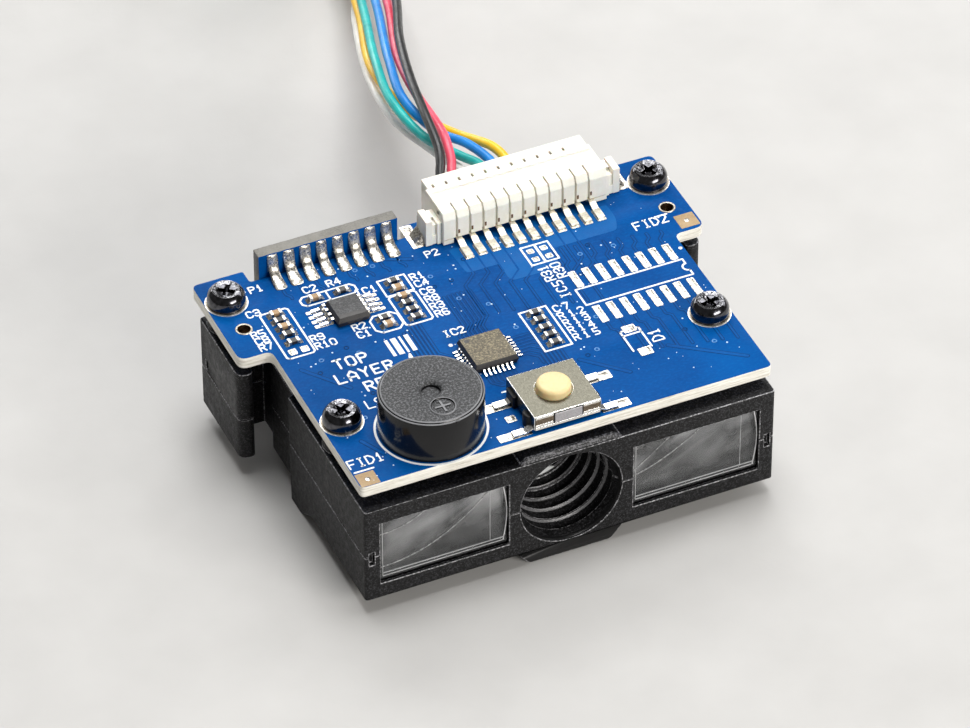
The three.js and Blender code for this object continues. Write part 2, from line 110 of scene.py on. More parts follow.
# ---- Materials ----
def linear(code):
    """A colour written as six hexadecimal digits, as linear red, green and blue."""
    channels = [int(code[i:i + 2], 16) / 255 for i in (0, 2, 4)]
    return [c / 12.92 if c < 0.04045 else ((c + 0.055) / 1.055) ** 2.4 for c in channels]


class Finish:
    """A node material: a Principled shader fed by noise in object coordinates."""

    def __init__(self, name, roughness=0.5, **settings):
        self.material = bpy.data.materials.new(name)
        self.material.use_nodes = True
        self.tree = self.material.node_tree
        self.shader = self.tree.nodes["Principled BSDF"]
        self.relief = None
        for key, value in {"Roughness": roughness, **settings}.items():
            self.shader.inputs[key.replace("_", " ")].default_value = value

    def feed(self, socket, value):
        if isinstance(value, bpy.types.NodeSocket):
            self.tree.links.new(value, socket)
        else:
            socket.default_value = [*linear(value), 1] if isinstance(value, str) else value

    def node(self, kind, **inputs):
        node = self.tree.nodes.new("ShaderNode" + kind)
        for key, value in inputs.items():
            self.feed(node.inputs[key], value)
        return node

    def place(self, size, stretch=(1, 1, 1), lean=0.0):
        """Object coordinates in which one unit is size millimetres, leaning about the y axis."""
        vector = self.node("TexCoord").outputs["Object"]
        if lean:
            leaning = self.node("Mapping", Vector=vector, Rotation=(0, math.radians(lean), 0))
            vector = leaning.outputs["Vector"]
        scale = [s / (size * MM) for s in stretch]
        return self.node("Mapping", Vector=vector, Scale=scale).outputs["Vector"]

    def noise(self, size, detail=3.0, rough=0.55, stretch=(1, 1, 1), warp=0.0, lean=0.0):
        return self.node("TexNoise", Vector=self.place(size, stretch, lean), Scale=1.0,
                         Detail=detail, Roughness=rough, Distortion=warp).outputs["Fac"]

    def cells(self, size):
        return self.node("TexVoronoi", Vector=self.place(size), Scale=1.0).outputs["Distance"]

    def height(self):
        """Height above the board's top face, in millimetres."""
        z = self.node("SeparateXYZ", Vector=self.place(1.0)).outputs["Z"]
        return self.math("SUBTRACT", z, ORIGIN.z / MM)

    def math(self, operation, a, b):
        node = self.node("Math")
        node.operation = operation
        self.feed(node.inputs[0], a)
        self.feed(node.inputs[1], b)
        return node.outputs[0]

    def ramp(self, value, *stops):
        node = self.node("ValToRGB", Fac=value)
        ramp = node.color_ramp
        while len(ramp.elements) < len(stops):
            ramp.elements.new(0.5)
        for element, (position, colour) in zip(ramp.elements, stops):
            element.position = position
            element.color = [*(linear(colour) if isinstance(colour, str) else [colour] * 3), 1]
        return node.outputs["Color"]

    def mix(self, factor, a, b):
        node = self.node("Mix")
        node.data_type = "RGBA"
        self.feed(node.inputs["Factor"], factor)
        for key, value in (("A", a), ("B", b)):
            self.feed(next(s for s in node.inputs if s.name == key and s.type == "RGBA"), value)
        return next(s for s in node.outputs if s.type == "RGBA")

    def shades(self, dark, light, size, detail=3.0, low=0.3, **pattern):
        """Patches of two shades."""
        return self.ramp(self.noise(size, detail, **pattern), (low, dark), (1 - low, light))

    def over(self, base, colour, value, start, end, amount):
        """A colour laid over the base where the value climbs from start to end."""
        return self.mix(self.ramp(value, (start, 0.0), (end, amount)), base, colour)

    def colour(self, value):
        self.feed(self.shader.inputs["Base Color"], value)
        return self

    def rough(self, value, low, high):
        self.feed(self.shader.inputs["Roughness"], self.ramp(value, (0.3, low), (0.7, high)))
        return self

    def bump(self, value, depth):
        """Relief of that depth in millimetres, added to any that is there."""
        node = self.node("Bump", Height=value, Strength=1.0, Distance=depth * MM)
        if self.relief:
            self.tree.links.new(self.relief, node.inputs["Normal"])
        self.relief = node.outputs["Normal"]
        self.feed(self.shader.inputs["Normal"], self.relief)
        return self


def moulded(name, dark, light, roughness, grain, depth, **settings):
    """A moulded or painted surface: two close shades in patches, with a fine grain."""
    f = Finish(name, roughness, **settings)
    fine = f.noise(grain, 2)
    f.colour(f.over(f.shades(dark, light, grain * 18, 4), light, fine, 0.3, 0.75, 1.0))
    f.rough(f.noise(grain * 7), roughness * 0.85, min(1.0, roughness * 1.2))
    return f.bump(fine, depth)


def metal(name, dark, light, roughness, size=0.5, depth=0.006, stretch=(1, 1, 1), **settings):
    """Bare or plated metal, mottled and slightly uneven."""
    f = Finish(name, roughness, Metallic=1.0, **settings)
    f.colour(f.shades(dark, light, size * 0.6, 4, 0.32))
    f.rough(f.noise(size * 0.4, 3), roughness * 0.7, min(1.0, roughness * 1.5))
    return f.bump(f.noise(size, 2, stretch=stretch), depth)


def speckled(name, dark, light, fleck, roughness, patches, grain, cover, depth):
    """Two close shades under raised flecks of a third, which catch the light in dots."""
    f = Finish(name, roughness)
    flecks = f.noise(*grain)
    f.colour(f.over(f.shades(dark, light, *patches), fleck, flecks, *cover))
    return f.bump(flecks, depth)


def board_mask():
    f = Finish("board_blue", 0.4, Specular_IOR_Level=0.05, IOR=1.45)
    weave = f.noise(0.35, 2, stretch=(1, 1.6, 1))
    f.colour(f.over(f.shades("004081", "004f95", 9.0), "0363a9", weave, 0.45, 0.8, 0.35))
    f.rough(f.noise(1.4), 0.34, 0.48)
    return f.bump(f.noise(1.1, 3), 0.012).bump(weave, 0.004)


def board_edge():
    f = Finish("board_edge", 0.7)
    layers = f.noise(0.9, 4, stretch=(0.35, 0.35, 5.5))
    fibres = f.noise(0.22, 3, stretch=(0.5, 0.5, 2.5))
    base = f.ramp(layers, (0.25, "b9b3a4"), (0.42, "dedacf"), (0.65, "f4f2ea"))
    f.colour(f.over(base, "fbf8ee", fibres, 0.5, 0.75, 0.6))
    return f.bump(fibres, 0.05).bump(layers, 0.05)


def black_housing():
    """Black moulded plastic with a sparkling spark-eroded grain."""
    f = Finish("housing_black", 0.5, Specular_IOR_Level=0.24)
    grain = f.noise(0.17, 2, 0.75)
    base = f.shades("050506", "0a0a0b", 3.0, 4)
    base = f.mix(f.ramp(f.cells(0.2), (0.05, 0.7), (0.25, 0.0)), base, "6a6a6e")
    f.colour(f.over(base, "38383b", grain, 0.5, 0.66, 0.85))
    f.rough(f.noise(0.5), 0.42, 0.62)
    return f.bump(grain, 0.05).bump(f.noise(0.6, 2), 0.015)


def window_pane():
    f = Finish("window_clear", 0.06, IOR=1.49, Alpha=0.2, Coat_Weight=1.0, Coat_Roughness=0.04)
    f.colour(f.shades("3c3e40", "9a9c9e", 3.2, 4, stretch=(1, 1, 2.2), warp=1.5))
    return f.bump(f.noise(2.0, 2), 0.01)


def window_depth():
    """What shows through a window: the lens's own curved back, in grey smears and streaks that are painted
    reflections, darker towards the bottom as painted shade.
    """
    f = Finish("window_depth", 0.2, Coat_Weight=0.6, Coat_Roughness=0.1)
    sweep = f.noise(4.2, 1.5, 0.45, stretch=(0.6, 1, 1.0), warp=0.5, lean=32)
    reflection_streaks = f.noise(1.3, 1, 0.5, stretch=(0.12, 0.4, 1.4), lean=32)
    upright = f.noise(0.9, 2, 0.6, stretch=(1.4, 1, 0.12))
    # Painted shade: the depth is darker towards the bottom of the window
    level = f.math("DIVIDE", f.math("ADD", f.height(), 10.4), 6.4)
    # Painted reflections: smears from near black to near white, light streaks and upright lines
    base = f.ramp(sweep, (0.37, "111112"), (0.45, "3a3b3d"), (0.53, "929396"), (0.66, "ecedef"))
    base = f.over(base, "c9cacb", reflection_streaks, 0.56, 0.74, 0.8)
    base = f.over(base, "a8a9ab", upright, 0.55, 0.75, 0.35)
    return f.colour(f.mix(f.ramp(level, (0.1, 0.02), (0.5, 0.34), (0.88, 1.0)), "0b0b0c", base))


def nylon():
    f = Finish("nylon_white", 0.42, Subsurface_Weight=0.12, Subsurface_Scale=0.0012)
    f.colour(f.over(f.shades("e3ded0", "efebdf", 2.4, 4), "fbfaf6", f.noise(0.35), 0.5, 0.8, 0.3))
    return f.bump(f.noise(0.5, 3), 0.012).bump(f.noise(0.07, 1), 0.003)


def wire_jacket(name, dark, light):
    f = Finish(name, 0.34, Coat_Weight=0.15, Coat_Roughness=0.25)
    f.colour(f.shades(dark, light, 2.6, 4)).rough(f.noise(0.7), 0.28, 0.48)
    return f.bump(f.noise(0.35, 3), 0.01).bump(f.noise(3.0), 0.02)


def floor_finish():
    f = Finish("floor", 0.85)
    return f.colour(f.shades("b7b6b4", "bdbcba", 9.0)).bump(f.noise(0.6, 2), 0.01)


# Roughness, patches, grain, cover and depth of speckled finishes
# The first row is the speckle of the painted highlights on edges, the nose strip and the reflector
HIGHLIGHT_SPECKS = 0.32, (1.6, 2, 0.35), (0.2, 2, 0.7), (0.46, 0.6, 0.95), 0.04
RESIN = 0.55, (1.2,), (0.17, 3, 0.75), (0.47, 0.64, 0.9), 0.035
ROUGH_TOP = 0.6, (1.8,), (0.19, 2, 0.75), (0.49, 0.61, 0.95), 0.06

PAINT = {key: finish.material for key, finish in {
    "board": board_mask(),
    "edge": board_edge(),
    "silk": moulded("silkscreen", "dfe3e4", "f6f8f8", 0.55, 0.09, 0.006),
    "trace": moulded("buried_gap", "002b5c", "00376c", 0.42, 0.25, 0.003, Specular_IOR_Level=0.05),
    "flood": moulded("flooded_copper", "00498b", "04599d", 0.42, 0.12, 0.004,
                     Specular_IOR_Level=0.08),
    "via": moulded("tented_via", "07559c", "2577b6", 0.35, 0.1, 0.004),
    "speck": moulded("mask_speck", "8fc0e2", "d8e8f4", 0.4, 0.05, 0.002),
    "tin": metal("solder", "938f86", "e6e1d7", 0.28, 0.4, 0.035),
    "tab": metal("tab_metal", "a9a6a0", "e6e3dd", 0.28, 0.3, 0.008),
    "gold": moulded("bare_laminate", "8a6f4c", "ab9068", 0.5, 0.12, 0.01),
    "black": black_housing(),
    "liner": moulded("tunnel_black", "0b0b0c", "151516", 0.36, 0.2, 0.008, Coat_Weight=0.2),
    "dark": moulded("inner_black", "070708", "0e0e0f", 0.6, 0.2, 0.01),
    "pane": window_pane(),
    # Painted reflections and painted shade seen through the windows
    "depth": window_depth(),
    # Painted highlights along the window rims
    "rim": moulded("window_rim_highlight", "8d8f91", "c9cacc", 0.25, 0.3, 0.006),
    "screw": metal("screw_black", "1e1e21", "56565c", 0.16, 0.6, 0.006, Coat_Weight=0.6),
    "screw_rim": metal("screw_rim", "2e2e32", "a0a0a4", 0.24, 0.3, 0.05),
    "plate": metal("plated_ring", "bdbab3", "f3f1ec", 0.36, 0.4, 0.01),
    "dull": metal("dull_ring", "8b8275", "c4bcae", 0.45, 0.2, 0.012),
    "lead": metal("lead_metal", "cfc9b9", "f6f1e4", 0.42, 0.4, 0.012),
    "buzzer": moulded("buzzer_black", "09090a", "111113", 0.2, 0.5, 0.006, Coat_Weight=0.1,
                      Specular_IOR_Level=0.25),
    "buzzer_top": speckled("buzzer_top", "191a1b", "232426", "606164", *ROUGH_TOP),
    "cover": metal("switch_metal", "514f46", "646258", 0.27, 0.25, 0.004, (1, 0.2, 1)),
    "bright": metal("bright_metal", "d8d6d0", "fbfaf7", 0.2, 0.3, 0.004),
    "brown_metal": metal("shaded_metal", "5d5246", "8a7d6d", 0.4, 0.3, 0.004),
    "clip": metal("clip_metal", "a4a2a6", "cfcdd0", 0.45, 0.08, 0.02),
    # Painted highlights on the buzzer's rim and raised ring
    "emboss": moulded("embossed_edge_highlight", "58595c", "77787b", 0.45, 0.1, 0.01),
    # Painted highlight on the housing's eased edges
    "black_edge": speckled("painted_edge_highlight", "1e1e1f", "5c5c5f", "b4b4b8", *HIGHLIGHT_SPECKS),
    # Grain with a painted highlight, for the nose strip
    "grained_highlight": speckled("grained_edge_highlight", "101011", "1e1e20", "6a6a6e", *HIGHLIGHT_SPECKS),
    # Painted highlights on the reflector's edges
    "glint": speckled("reflector_edge_highlight", "77787a", "bcbdbf", "ffffff", *HIGHLIGHT_SPECKS),
    # Painted highlight on the tunnel's ridge tops
    "crest": moulded("ridge_crest_highlight", "161617", "6a6a6d", 0.25, 0.12, 0.03),
    "nose": moulded("nose_black", "131314", "1c1c1d", 0.42, 0.3, 0.012, Specular_IOR_Level=0.4),
    "cut_edge": moulded("sawn_edge", "504e4a", "85837d", 0.75, 0.16, 0.06),
    "switch": moulded("switch_black", "0b0b0c", "141416", 0.45, 0.15, 0.008,
                      Specular_IOR_Level=0.3),
    "cream": moulded("plunger_cream", "d0bc86", "dbc997", 0.45, 0.3, 0.006,
                     Subsurface_Weight=0.35, Subsurface_Scale=0.0015),
    "nylon": nylon(),
    "brown": metal("contact_brown", "4a3526", "8a6a4c", 0.4, 0.2, 0.004),
    "chip": speckled("chip_grey", "463f31", "575040", "94896c", *RESIN),
    "plain_chip": speckled("chip_plain", "29292a", "353536", "57585a", *RESIN),
    "resistor": moulded("resistor_body", "1c1a19", "2e2b29", 0.35, 0.08, 0.006),
    "ceramic": moulded("capacitor_body", "8a6d4e", "b0906a", 0.5, 0.12, 0.01),
    "lens": moulded("optics_glass", "0c1117", "19222c", 0.05, 1.5, 0.002, Coat_Weight=1.0,
                    Coat_Roughness=0.03),
    "sensor": moulded("sensor_body", "2a2420", "3f372f", 0.5, 0.12, 0.01),
    "led_board": moulded("led_board_green", "14512c", "1e6a3c", 0.35, 0.3, 0.006),
    "led": moulded("led_red", "a8281c", "d8452f", 0.18, 0.4, 0.004, Coat_Weight=0.6),
    "steel": metal("buzzer_metal", "6c6c6a", "a8a8a4", 0.35),
    "copper": metal("copper_wire", "7c3f1e", "c1743c", 0.3, 0.12, 0.02, (1, 1, 4)),
}.items()}


# ---- Shapes ----
def corners(x0, x1, y0, y1):
    """A rectangle's corners, anticlockwise from above."""
    return [(x0, y0), (x1, y0), (x1, y1), (x0, y1)]


def ring_faces(rows, count):
    """Faces that join closed rows of that many points, each row to the next."""
    return [[a * count + i, a * count + (i + 1) % count, b * count + (i + 1) % count, b * count + i]
            for a, b in rows for i in range(count)]


class Shape:
    """Faces gathered for one piece, in board millimetres. Each face has a material number."""

    def __init__(self):
        self.points, self.faces, self.slots = [], [], []

    def add(self, points, faces, slot=0):
        """Faces over new points. slot is one number, or a list with one for each face."""
        base = len(self.points)
        self.points += [tuple(p) for p in points]
        self.faces += [[i + base for i in face] for face in faces]
        self.slots += slot if isinstance(slot, list) else [slot] * len(faces)
        return self

    def prism(self, loop, z0, z1, slot=0, top=None):
        """A loop of (x, y) corners, anticlockwise from above, raised from z0 to z1."""
        n = len(loop)
        faces = ring_faces([(0, 1)], n) + [list(range(n))[::-1], list(range(n, 2 * n))]
        numbers = [slot] * (n + 1) + [slot if top is None else top]
        return self.add([(x, y, z) for z in (z0, z1) for x, y in loop], faces, numbers)

    def block(self, x0, x1, y0, y1, z0, z1, slot=0, top=None):
        return self.prism(corners(x0, x1, y0, y1), z0, z1, slot, top)

    def blocks(self, *rows):
        for row in rows:
            self.block(*row)

    def hexa(self, low, high, slot=0):
        """A six-sided block between two loops of four corners."""
        return self.add([*low, *high], ring_faces([(0, 1)], 4) + [[3, 2, 1, 0], [4, 5, 6, 7]], slot)

    def slide(self, loop, move, slot=0):
        """A block swept by a loop of four corners that moves by a vector."""
        return self.hexa(loop, [Vector(p) + Vector(move) for p in loop], slot)

    def loft(self, rings):
        """Rings of as many points, each joined to the next and the last to the first."""
        pairs = [(k, (k + 1) % len(rings)) for k in range(len(rings))]
        return self.add([p for ring in rings for p in ring], ring_faces(pairs, len(rings[0])))

    def turn(self, profile, centre, segments=64, axis="z", slot=0, slots=None, closed=False):
        """A profile of (radius, height) points turned about a vertical or a y axis. Seen with the
        radius to the right and the height up, it runs anticlockwise."""
        points, rows = [], []
        for radius, h in profile:
            row = []
            for i in range(1 if radius < 1e-6 else segments):
                u, v = radius * math.cos(TAU * i / segments), radius * math.sin(TAU * i / segments)
                row.append(len(points))
                points.append([a + b for a, b in zip((u, v, h) if axis == "z" else (u, h, -v), centre)])
            rows.append(row * segments if len(row) == 1 else row)
        faces, numbers = [], []
        for k, (a, b) in enumerate(zip(rows, rows[1:] + rows[:1] * closed)):
            for i in range(segments):
                j = (i + 1) % segments
                face = list(dict.fromkeys((a[i], a[j], b[j], b[i])))
                if len(face) > 2:
                    faces.append(face)
                    numbers.append(slots[k] if slots else slot)
        return self.add(points, faces, numbers)

    def stroke(self, points, width, z0, z1, closed=False, slot=0):
        """A line of round-ended strokes, each a hair taller than the last so that none coincide."""
        chain = list(points) + list(points[:1]) * closed
        for k, (a, b) in enumerate(zip(chain, chain[1:])):
            heading = math.degrees(math.atan2(b[1] - a[1], b[0] - a[0]))
            loop = [p for end, turn in ((b, -90), (a, 90))
                    for p in arc(*end, width / 2, heading + turn, heading + turn + 180, 5)]
            self.prism(loop, z0, z1 + 0.0007 * (k % 7), slot)
        return self

    def build(self, name, paints, slot=None, replaces=None, body="engine", **shading):
        mesh = bpy.data.meshes.new(name)
        mesh.from_pydata([at(*p) for p in self.points], [], self.faces)
        paint(mesh, paints, self.slots)
        return finished(name, mesh, slot, replaces, body, **shading)


def paint(mesh, paints, numbers=None):
    """Give a mesh its materials, and each face its number among them."""
    mesh.materials.clear()
    for name in paints.split():
        mesh.materials.append(PAINT[name])
    if numbers:
        mesh.polygons.foreach_set("material_index", numbers)


def finished(name, mesh, slot=None, replaces=None, body="engine", bevel=0.0, smooth=35, segments=2):
    """The piece that shows a mesh, with its shading and body; it hides the CAD node that it replaces. Its material
    slot is not used.
    """
    mesh.polygons.foreach_set("use_smooth", [True] * len(mesh.polygons))
    mesh.set_sharp_from_angle(angle=math.radians(smooth))
    mesh.update()
    piece = placed(name, mesh)
    if bevel:
        m = piece.modifiers.new("bevel", "BEVEL")
        m.width, m.segments, m.limit_method = bevel * MM, segments, "ANGLE"
        m.angle_limit = math.radians(smooth)
        m.harden_normals = m.use_clamp_overlap = True
    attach(piece, body)
    if replaces:
        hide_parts(replaces)
    return piece


def rework(source, mesh, *steps):
    """Run bmesh steps on one mesh, turn its faces outward and write it to another."""
    work = bmesh.new()
    work.from_mesh(source)
    for step in steps:
        step(work)
    bmesh.ops.recalc_face_normals(work, faces=work.faces)
    work.to_mesh(mesh)
    work.free()


def weld(mesh, gap):
    """Join points closer than the gap."""
    rework(mesh, mesh, lambda work: bmesh.ops.remove_doubles(work, verts=work.verts, dist=gap))


def arc(cx, cy, radius, start, end, count):
    """Points (x, y) on an arc, angles in degrees."""
    steps = [math.radians(start + (end - start) * i / count) for i in range(count + 1)]
    return [(cx + radius * math.cos(a), cy + radius * math.sin(a)) for a in steps]


def rounded(loop, steps=6):
    """A loop whose corners (x, y, radius) are rounded."""
    points = []
    for i, (x, y, r) in enumerate(loop):
        here = Vector((x, y))
        before, after = ((Vector(loop[k % len(loop)][:2]) - here).normalized() * r + here
                         for k in (i - 1, i + 1))
        for t in [k / steps for k in range(steps + 1)]:
            p = before * (1 - t) ** 2 + here * 2 * t * (1 - t) + after * t * t
            points.append((p.x, p.y))
    return points


def oblong(x0, x1, y0, y1, r=0.1, steps=4):
    return rounded([(x, y, r) for x, y in corners(x0, x1, y0, y1)], steps)


def add_line(curve, points):
    """One straight-sided spline through the points."""
    spline = curve.splines.new("POLY")
    spline.points.add(len(points) - 1)
    for point, place in zip(spline.points, points):
        point.co = (*place, 1)
    return spline


def make_circuit_board(node, name, loops, thick, rim, stand, across, edge):
    """A board from loops of (x, y), filled, eased by rim at its edges and stood up by a matrix.
    Faces across the numbered axis are blue."""
    curve = bpy.data.curves.new(name, "CURVE")
    curve.dimensions, curve.fill_mode = "2D", "BOTH"
    for loop in loops:
        add_line(curve, [(x, y, 0) for x, y in loop]).use_cyclic_u = True
    curve.extrude, curve.bevel_depth, curve.offset = thick / 2 - rim, rim, -rim
    curve.bevel_resolution = 1
    holder = placed(name, curve)
    graph = bpy.context.evaluated_depsgraph_get()
    mesh = bpy.data.meshes.new_from_object(holder.evaluated_get(graph))
    bpy.data.objects.remove(holder)
    weld(mesh, 1e-4)
    mesh.transform(stand)
    for vertex in mesh.vertices:
        vertex.co = at(*vertex.co)
    mesh.update()
    paint(mesh, "board " + edge, [int(abs(p.normal[across]) <= 0.9) for p in mesh.polygons])
    finished(name, mesh, "board_blue", node)


# ---- Harness ----
WIRE = 0.85
FLOOR = span("harness_connector")[0].z
ROUTES = {
    "black": [(2.8, 31.5, 1.5), (2.87, 32.9, 1.5), (3.4, 34, 1.9), (3.95, 35.6, 2.2), (4.8, 40.5, 2.4),
              (5.98, 46.2, 1.7), (8.18, 53.8, 0.2), (12, 63.5, -3), (16.2, 77, -7.4), (16.2, 86.5, -9.2)],
    "red": [(4.05, 31.5, 1.5), (3.95, 32.9, 1.5), (4.5, 34.1, 1.7), (5.22, 37.1, 2), (5.7, 40, 1.4),
            (6.1, 45.6, 0.7), (7.25, 52, -0.4), (11.5, 64.2, -4.1), (15.2, 77, -8.3), (15.2, 86.5, -9.6)],
    "blue": [(7.8, 31.5, 1.5), (7.87, 33.2, 1.4), (7.17, 36.6, 1.1), (5.8, 40.3, 0.3), (4.87, 45.3, 0.5),
             (6.3, 51.9, -0.2), (10.5, 64.6, -4), (14.1, 77, -8.4), (14.2, 86.5, -9.5)],
    "teal": [(6.55, 31.5, 1.5), (6.8, 33.4, 1.3), (6, 35.4, 1), (4.5, 40.2, 0.2), (4.02, 46.2, 0.1),
             (5.4, 52.8, -0.7), (9.4, 64.9, -4.6), (13, 77, -8.6), (13.2, 86.5, -10)],
    "yellow": [(9.05, 31.5, 1.5), (9.12, 33.2, 1.5), (8.8, 34.9, 1.5), (7.3, 40.5, -0.4),
               (5.5, 46.6, -1.6), (5.25, 53, -1.9), (9.5, 66.2, -6), (12.5, 77, -9.5), (13.2, 86.5, -11.1)],
    "white": [(5.3, 31.5, 1.5), (5.6, 34.6, 0.2), (5.06, 40.1, -1.2), (4.27, 45.8, -2.1),
              (4.95, 52.8, -3), (9.6, 67.3, -7.5), (13.6, 77, -10.8), (14.3, 86.5, -11.5)],
}
JACKETS = {
    "black": ("0e0e0f", "1c1c1e"), "red": ("d32f4d", "ee5a70"), "blue": ("0678c8", "1590e6"),
    "teal": ("079a96", "1cc2ba"), "yellow": ("eab308", "f8d02e"), "white": ("d8d7d2", "f3f2ee"),
}
COIL = (6.0, 96.0)
RING = 8.5  # radius of the coil's middle line
BUNDLE = 1.32  # radius of the six wires laid round each other
BUNDLE_SLOT = BUNDLE - WIRE / 2 - 0.01
LIFT = 0.42  # thickness of the tie that the coil lies on
SWEEP = 50.0  # degrees of each turn in which the passes change places
TURNS = 2.25
TWIST = 2.0
FAR_PITCH = 1.25  # between the far connector's contacts


def ease(t):
    t = min(1.0, max(0.0, t))
    return t * t * (3 - 2 * t)


def bundle_place(turned):
    """Radius and height of the bundle's middle after that many degrees round the coil. Its passes
    lie as a triangle: the first inside on the floor, the second outside, the last on top."""
    whole, part = divmod(max(turned, 0.0), 360)
    swing = 120 * ease(part / SWEEP)
    angle = math.radians([90, 210, 330][int(whole)] + swing)
    reach = BUNDLE * 2 / math.sqrt(3)
    hump = reach * (math.sin(math.radians(30 + swing)) - 0.5)
    low = FLOOR + LIFT + BUNDLE + reach / 2
    return RING + reach * math.cos(angle), low + hump + reach * math.sin(angle)


def wire_points(order, name, end):
    """The route of one wire: over the board's rear edge, round the coil and into the far connector."""
    def slot(angle):
        return BUNDLE_SLOT * math.cos(angle), BUNDLE_SLOT * math.sin(angle)

    start = math.radians(60 * order)
    points = [Vector(p) for p in ROUTES[name]]
    dx, dz = slot(start)
    for share, y in ((0.55, 89.8), (0.9, 93.0)):
        points.append(points[-1].lerp(Vector((14.5 + dx, y, -9.5 + dz)), share))
        points[-1].y = y
    steps = int(TURNS * 48)
    for i in range(steps + 1):
        turned = 360 * TURNS * i / steps
        radius, z = bundle_place(turned)
        dr, dz = slot(start + TWIST * TAU * i / steps)
        a = math.radians(turned)
        points.append(Vector((COIL[0] + (radius + dr) * math.cos(a),
                              COIL[1] + (radius + dr) * math.sin(a), z + dz)))
    last = points[-1]
    points.append(Vector((last.x - 3.0, last.y, last.z - 0.1)))
    points.append(Vector((-4.6, last.y * 0.45 + end.y * 0.55, last.z * 0.4 + end.z * 0.6)))
    return points + [Vector((end.x + 1.2, end.y, end.z)), end]


def smooth_line(points, step):
    """Centripetal Catmull-Rom through the points, with points about step apart."""
    chain = [points[0] * 2 - points[1], *points, points[-1] * 2 - points[-2]]
    line = []
    for p0, p1, p2, p3 in zip(chain, chain[1:], chain[2:], chain[3:]):
        t = [0.0]
        for a, b in ((p0, p1), (p1, p2), (p2, p3)):
            t.append(t[-1] + max((b - a).length, 1e-6) ** 0.5)
        count = max(1, round((p2 - p1).length / step))
        for i in range(count):
            u = t[1] + (t[2] - t[1]) * i / count
            a1 = p0.lerp(p1, u / t[1])
            a2 = p1.lerp(p2, (u - t[1]) / (t[2] - t[1]))
            a3 = p2.lerp(p3, (u - t[2]) / (t[3] - t[2]))
            b1 = a1.lerp(a2, u / t[2])
            b2 = a2.lerp(a3, (u - t[1]) / (t[3] - t[1]))
            line.append(b1.lerp(b2, (u - t[1]) / (t[2] - t[1])))
    return line + [points[-1]]


def make_wires():
    """The six wires, black to white, laid round the bundle in that order."""
    centre, half = middle("harness_connector")
    names = list(ROUTES)
    seats = sorted(names, key=lambda n: math.cos(math.radians(60 * names.index(n)) + TWIST * TAU + 0.01))
    wires = []
    for k, name in enumerate(names):
        end = Vector((centre.x + half.x - 1.0, centre.y + (seats.index(name) - 2.5) * FAR_PITCH,
                      FLOOR + 1.75))
        line = smooth_line(wire_points(k, name, end), 0.55)
        curve = bpy.data.curves.new("lead_" + name, "CURVE")
        curve.dimensions = "3D"
        add_line(curve, [at(*p) for p in line])
        curve.bevel_depth, curve.bevel_resolution = WIRE / 2 * MM, 3
        curve.use_fill_caps = True
        curve.materials.append(wire_jacket("wire_" + name, *JACKETS[name]).material)
        piece = placed("lead_" + name, curve)
        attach(piece, "engine")
        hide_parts("wire_" + name, *(["harness_coil", "harness_tail"] if k == 0 else []))
        wires.append((piece, at(*line[0])))
    return wires


def make_far_connector():
    """The crimp housing at the far end: six square sockets between walls, and two ribs."""
    low, high = span("harness_connector")
    y = (low.y + high.y) / 2
    s, inner = Shape(), Shape()
    s.blocks((low.x, high.x, low.y, high.y, low.z, low.z + 0.9),
             (low.x, high.x, low.y, high.y, high.z - 0.95, high.z))
    for i, wall in enumerate(series(y - 3 * FAR_PITCH, FAR_PITCH, 7)):
        half = 0.2 if 0 < i < 6 else 0.37
        s.block(low.x + 0.02, high.x - 0.02, wall - half, wall + half, low.z + 0.88, high.z - 0.93)
    for rib in (y - 3.4, y + 3.4):
        s.block(low.x + 1.0, high.x - 0.8, rib - 0.35, rib + 0.35, high.z - 0.1, high.z + 0.35)
    for mid in series(y - 2.5 * FAR_PITCH, FAR_PITCH, 6):
        inner.block(low.x + 0.5, low.x + 3.5, mid - 0.22, mid + 0.22, low.z + 1.1, high.z - 1.2)
    return [s.build("far_connector", "nylon", "nylon_white", "harness_connector", bevel=0.12),
            inner.build("far_contacts", "tab", bevel=0.04)]


def make_tie():
    """A small nylon cable tie round the coil, with its head and cut tail on the outside."""
    angle = math.radians(70)
    outward = Vector((math.cos(angle), math.sin(angle), 0))
    along = Vector((-math.sin(angle), math.cos(angle), 0))
    low, thick, wide = FLOOR + 0.02, 0.38, 1.1

    def place(r, t, z):
        return Vector((*COIL, low + z)) + outward * (RING + r) + along * t

    side, top, r = 2.66, 4.72, 0.45
    loop = rounded([(-side, 0.9, r), (0.9 - side, 0, r), (side - 0.9, 0, r), (side, 0.9, r), (side, 2.3, r),
                    (1.1, top, r), (-1.1, top, r), (-side, 2.3, r)], 5)
    rings = []
    for grow, t in ((0, -wide), (0, wide), (thick, wide), (thick, -wide)):
        ring = []
        for a, b, c in zip(loop[-1:] + loop[:-1], loop, loop[1:] + loop[:1]):
            tangent = (Vector(c) - Vector(a)).normalized()
            p = Vector(b) + Vector((tangent.y, -tangent.x)) * grow
            ring.append(place(p.x, t, thick + p.y))
        rings.append(ring)
    s = Shape().loft(rings)
    for r0, r1, half, z0, z1 in ((side + 0.05, side + 1.45, 1.65, 1.1, 3.3),
                                 (side + 0.45, side + 0.85, 1.1, 3.2, 4.6)):
        s.slide([place(r, t, z0) for r, t in corners(r0, r1, -half, half)], (0, 0, z1 - z0))
    return s.build("cable_tie", "nylon", "nylon_white", "harness_tie", bevel=0.1, smooth=40)


WIRES = make_wires()
HARNESS_ENDS = make_far_connector() + [make_tie()]


# ---- Main board ----
BOARD_THICK = (BOARD_HIGH.z - BOARD_LOW.z) / MM
SCREW_PLACES = {n: middle("board_screw_" + n)[0]
                for n in ("front_left", "front_right", "rear_left", "rear_right")}
TEST_HOLES = [(side * 19.85, 22.7) for side in (-1, 1)]
HEADER_PADS = series(1.5, 1.25, 11)
FOOTPRINT_PADS = series(8.55, 1.27, 8)
AMPLIFIER_LEADS = series(22.35, -0.65, 4)
TAB_PADS = series(-14.84, 1.513, 8)


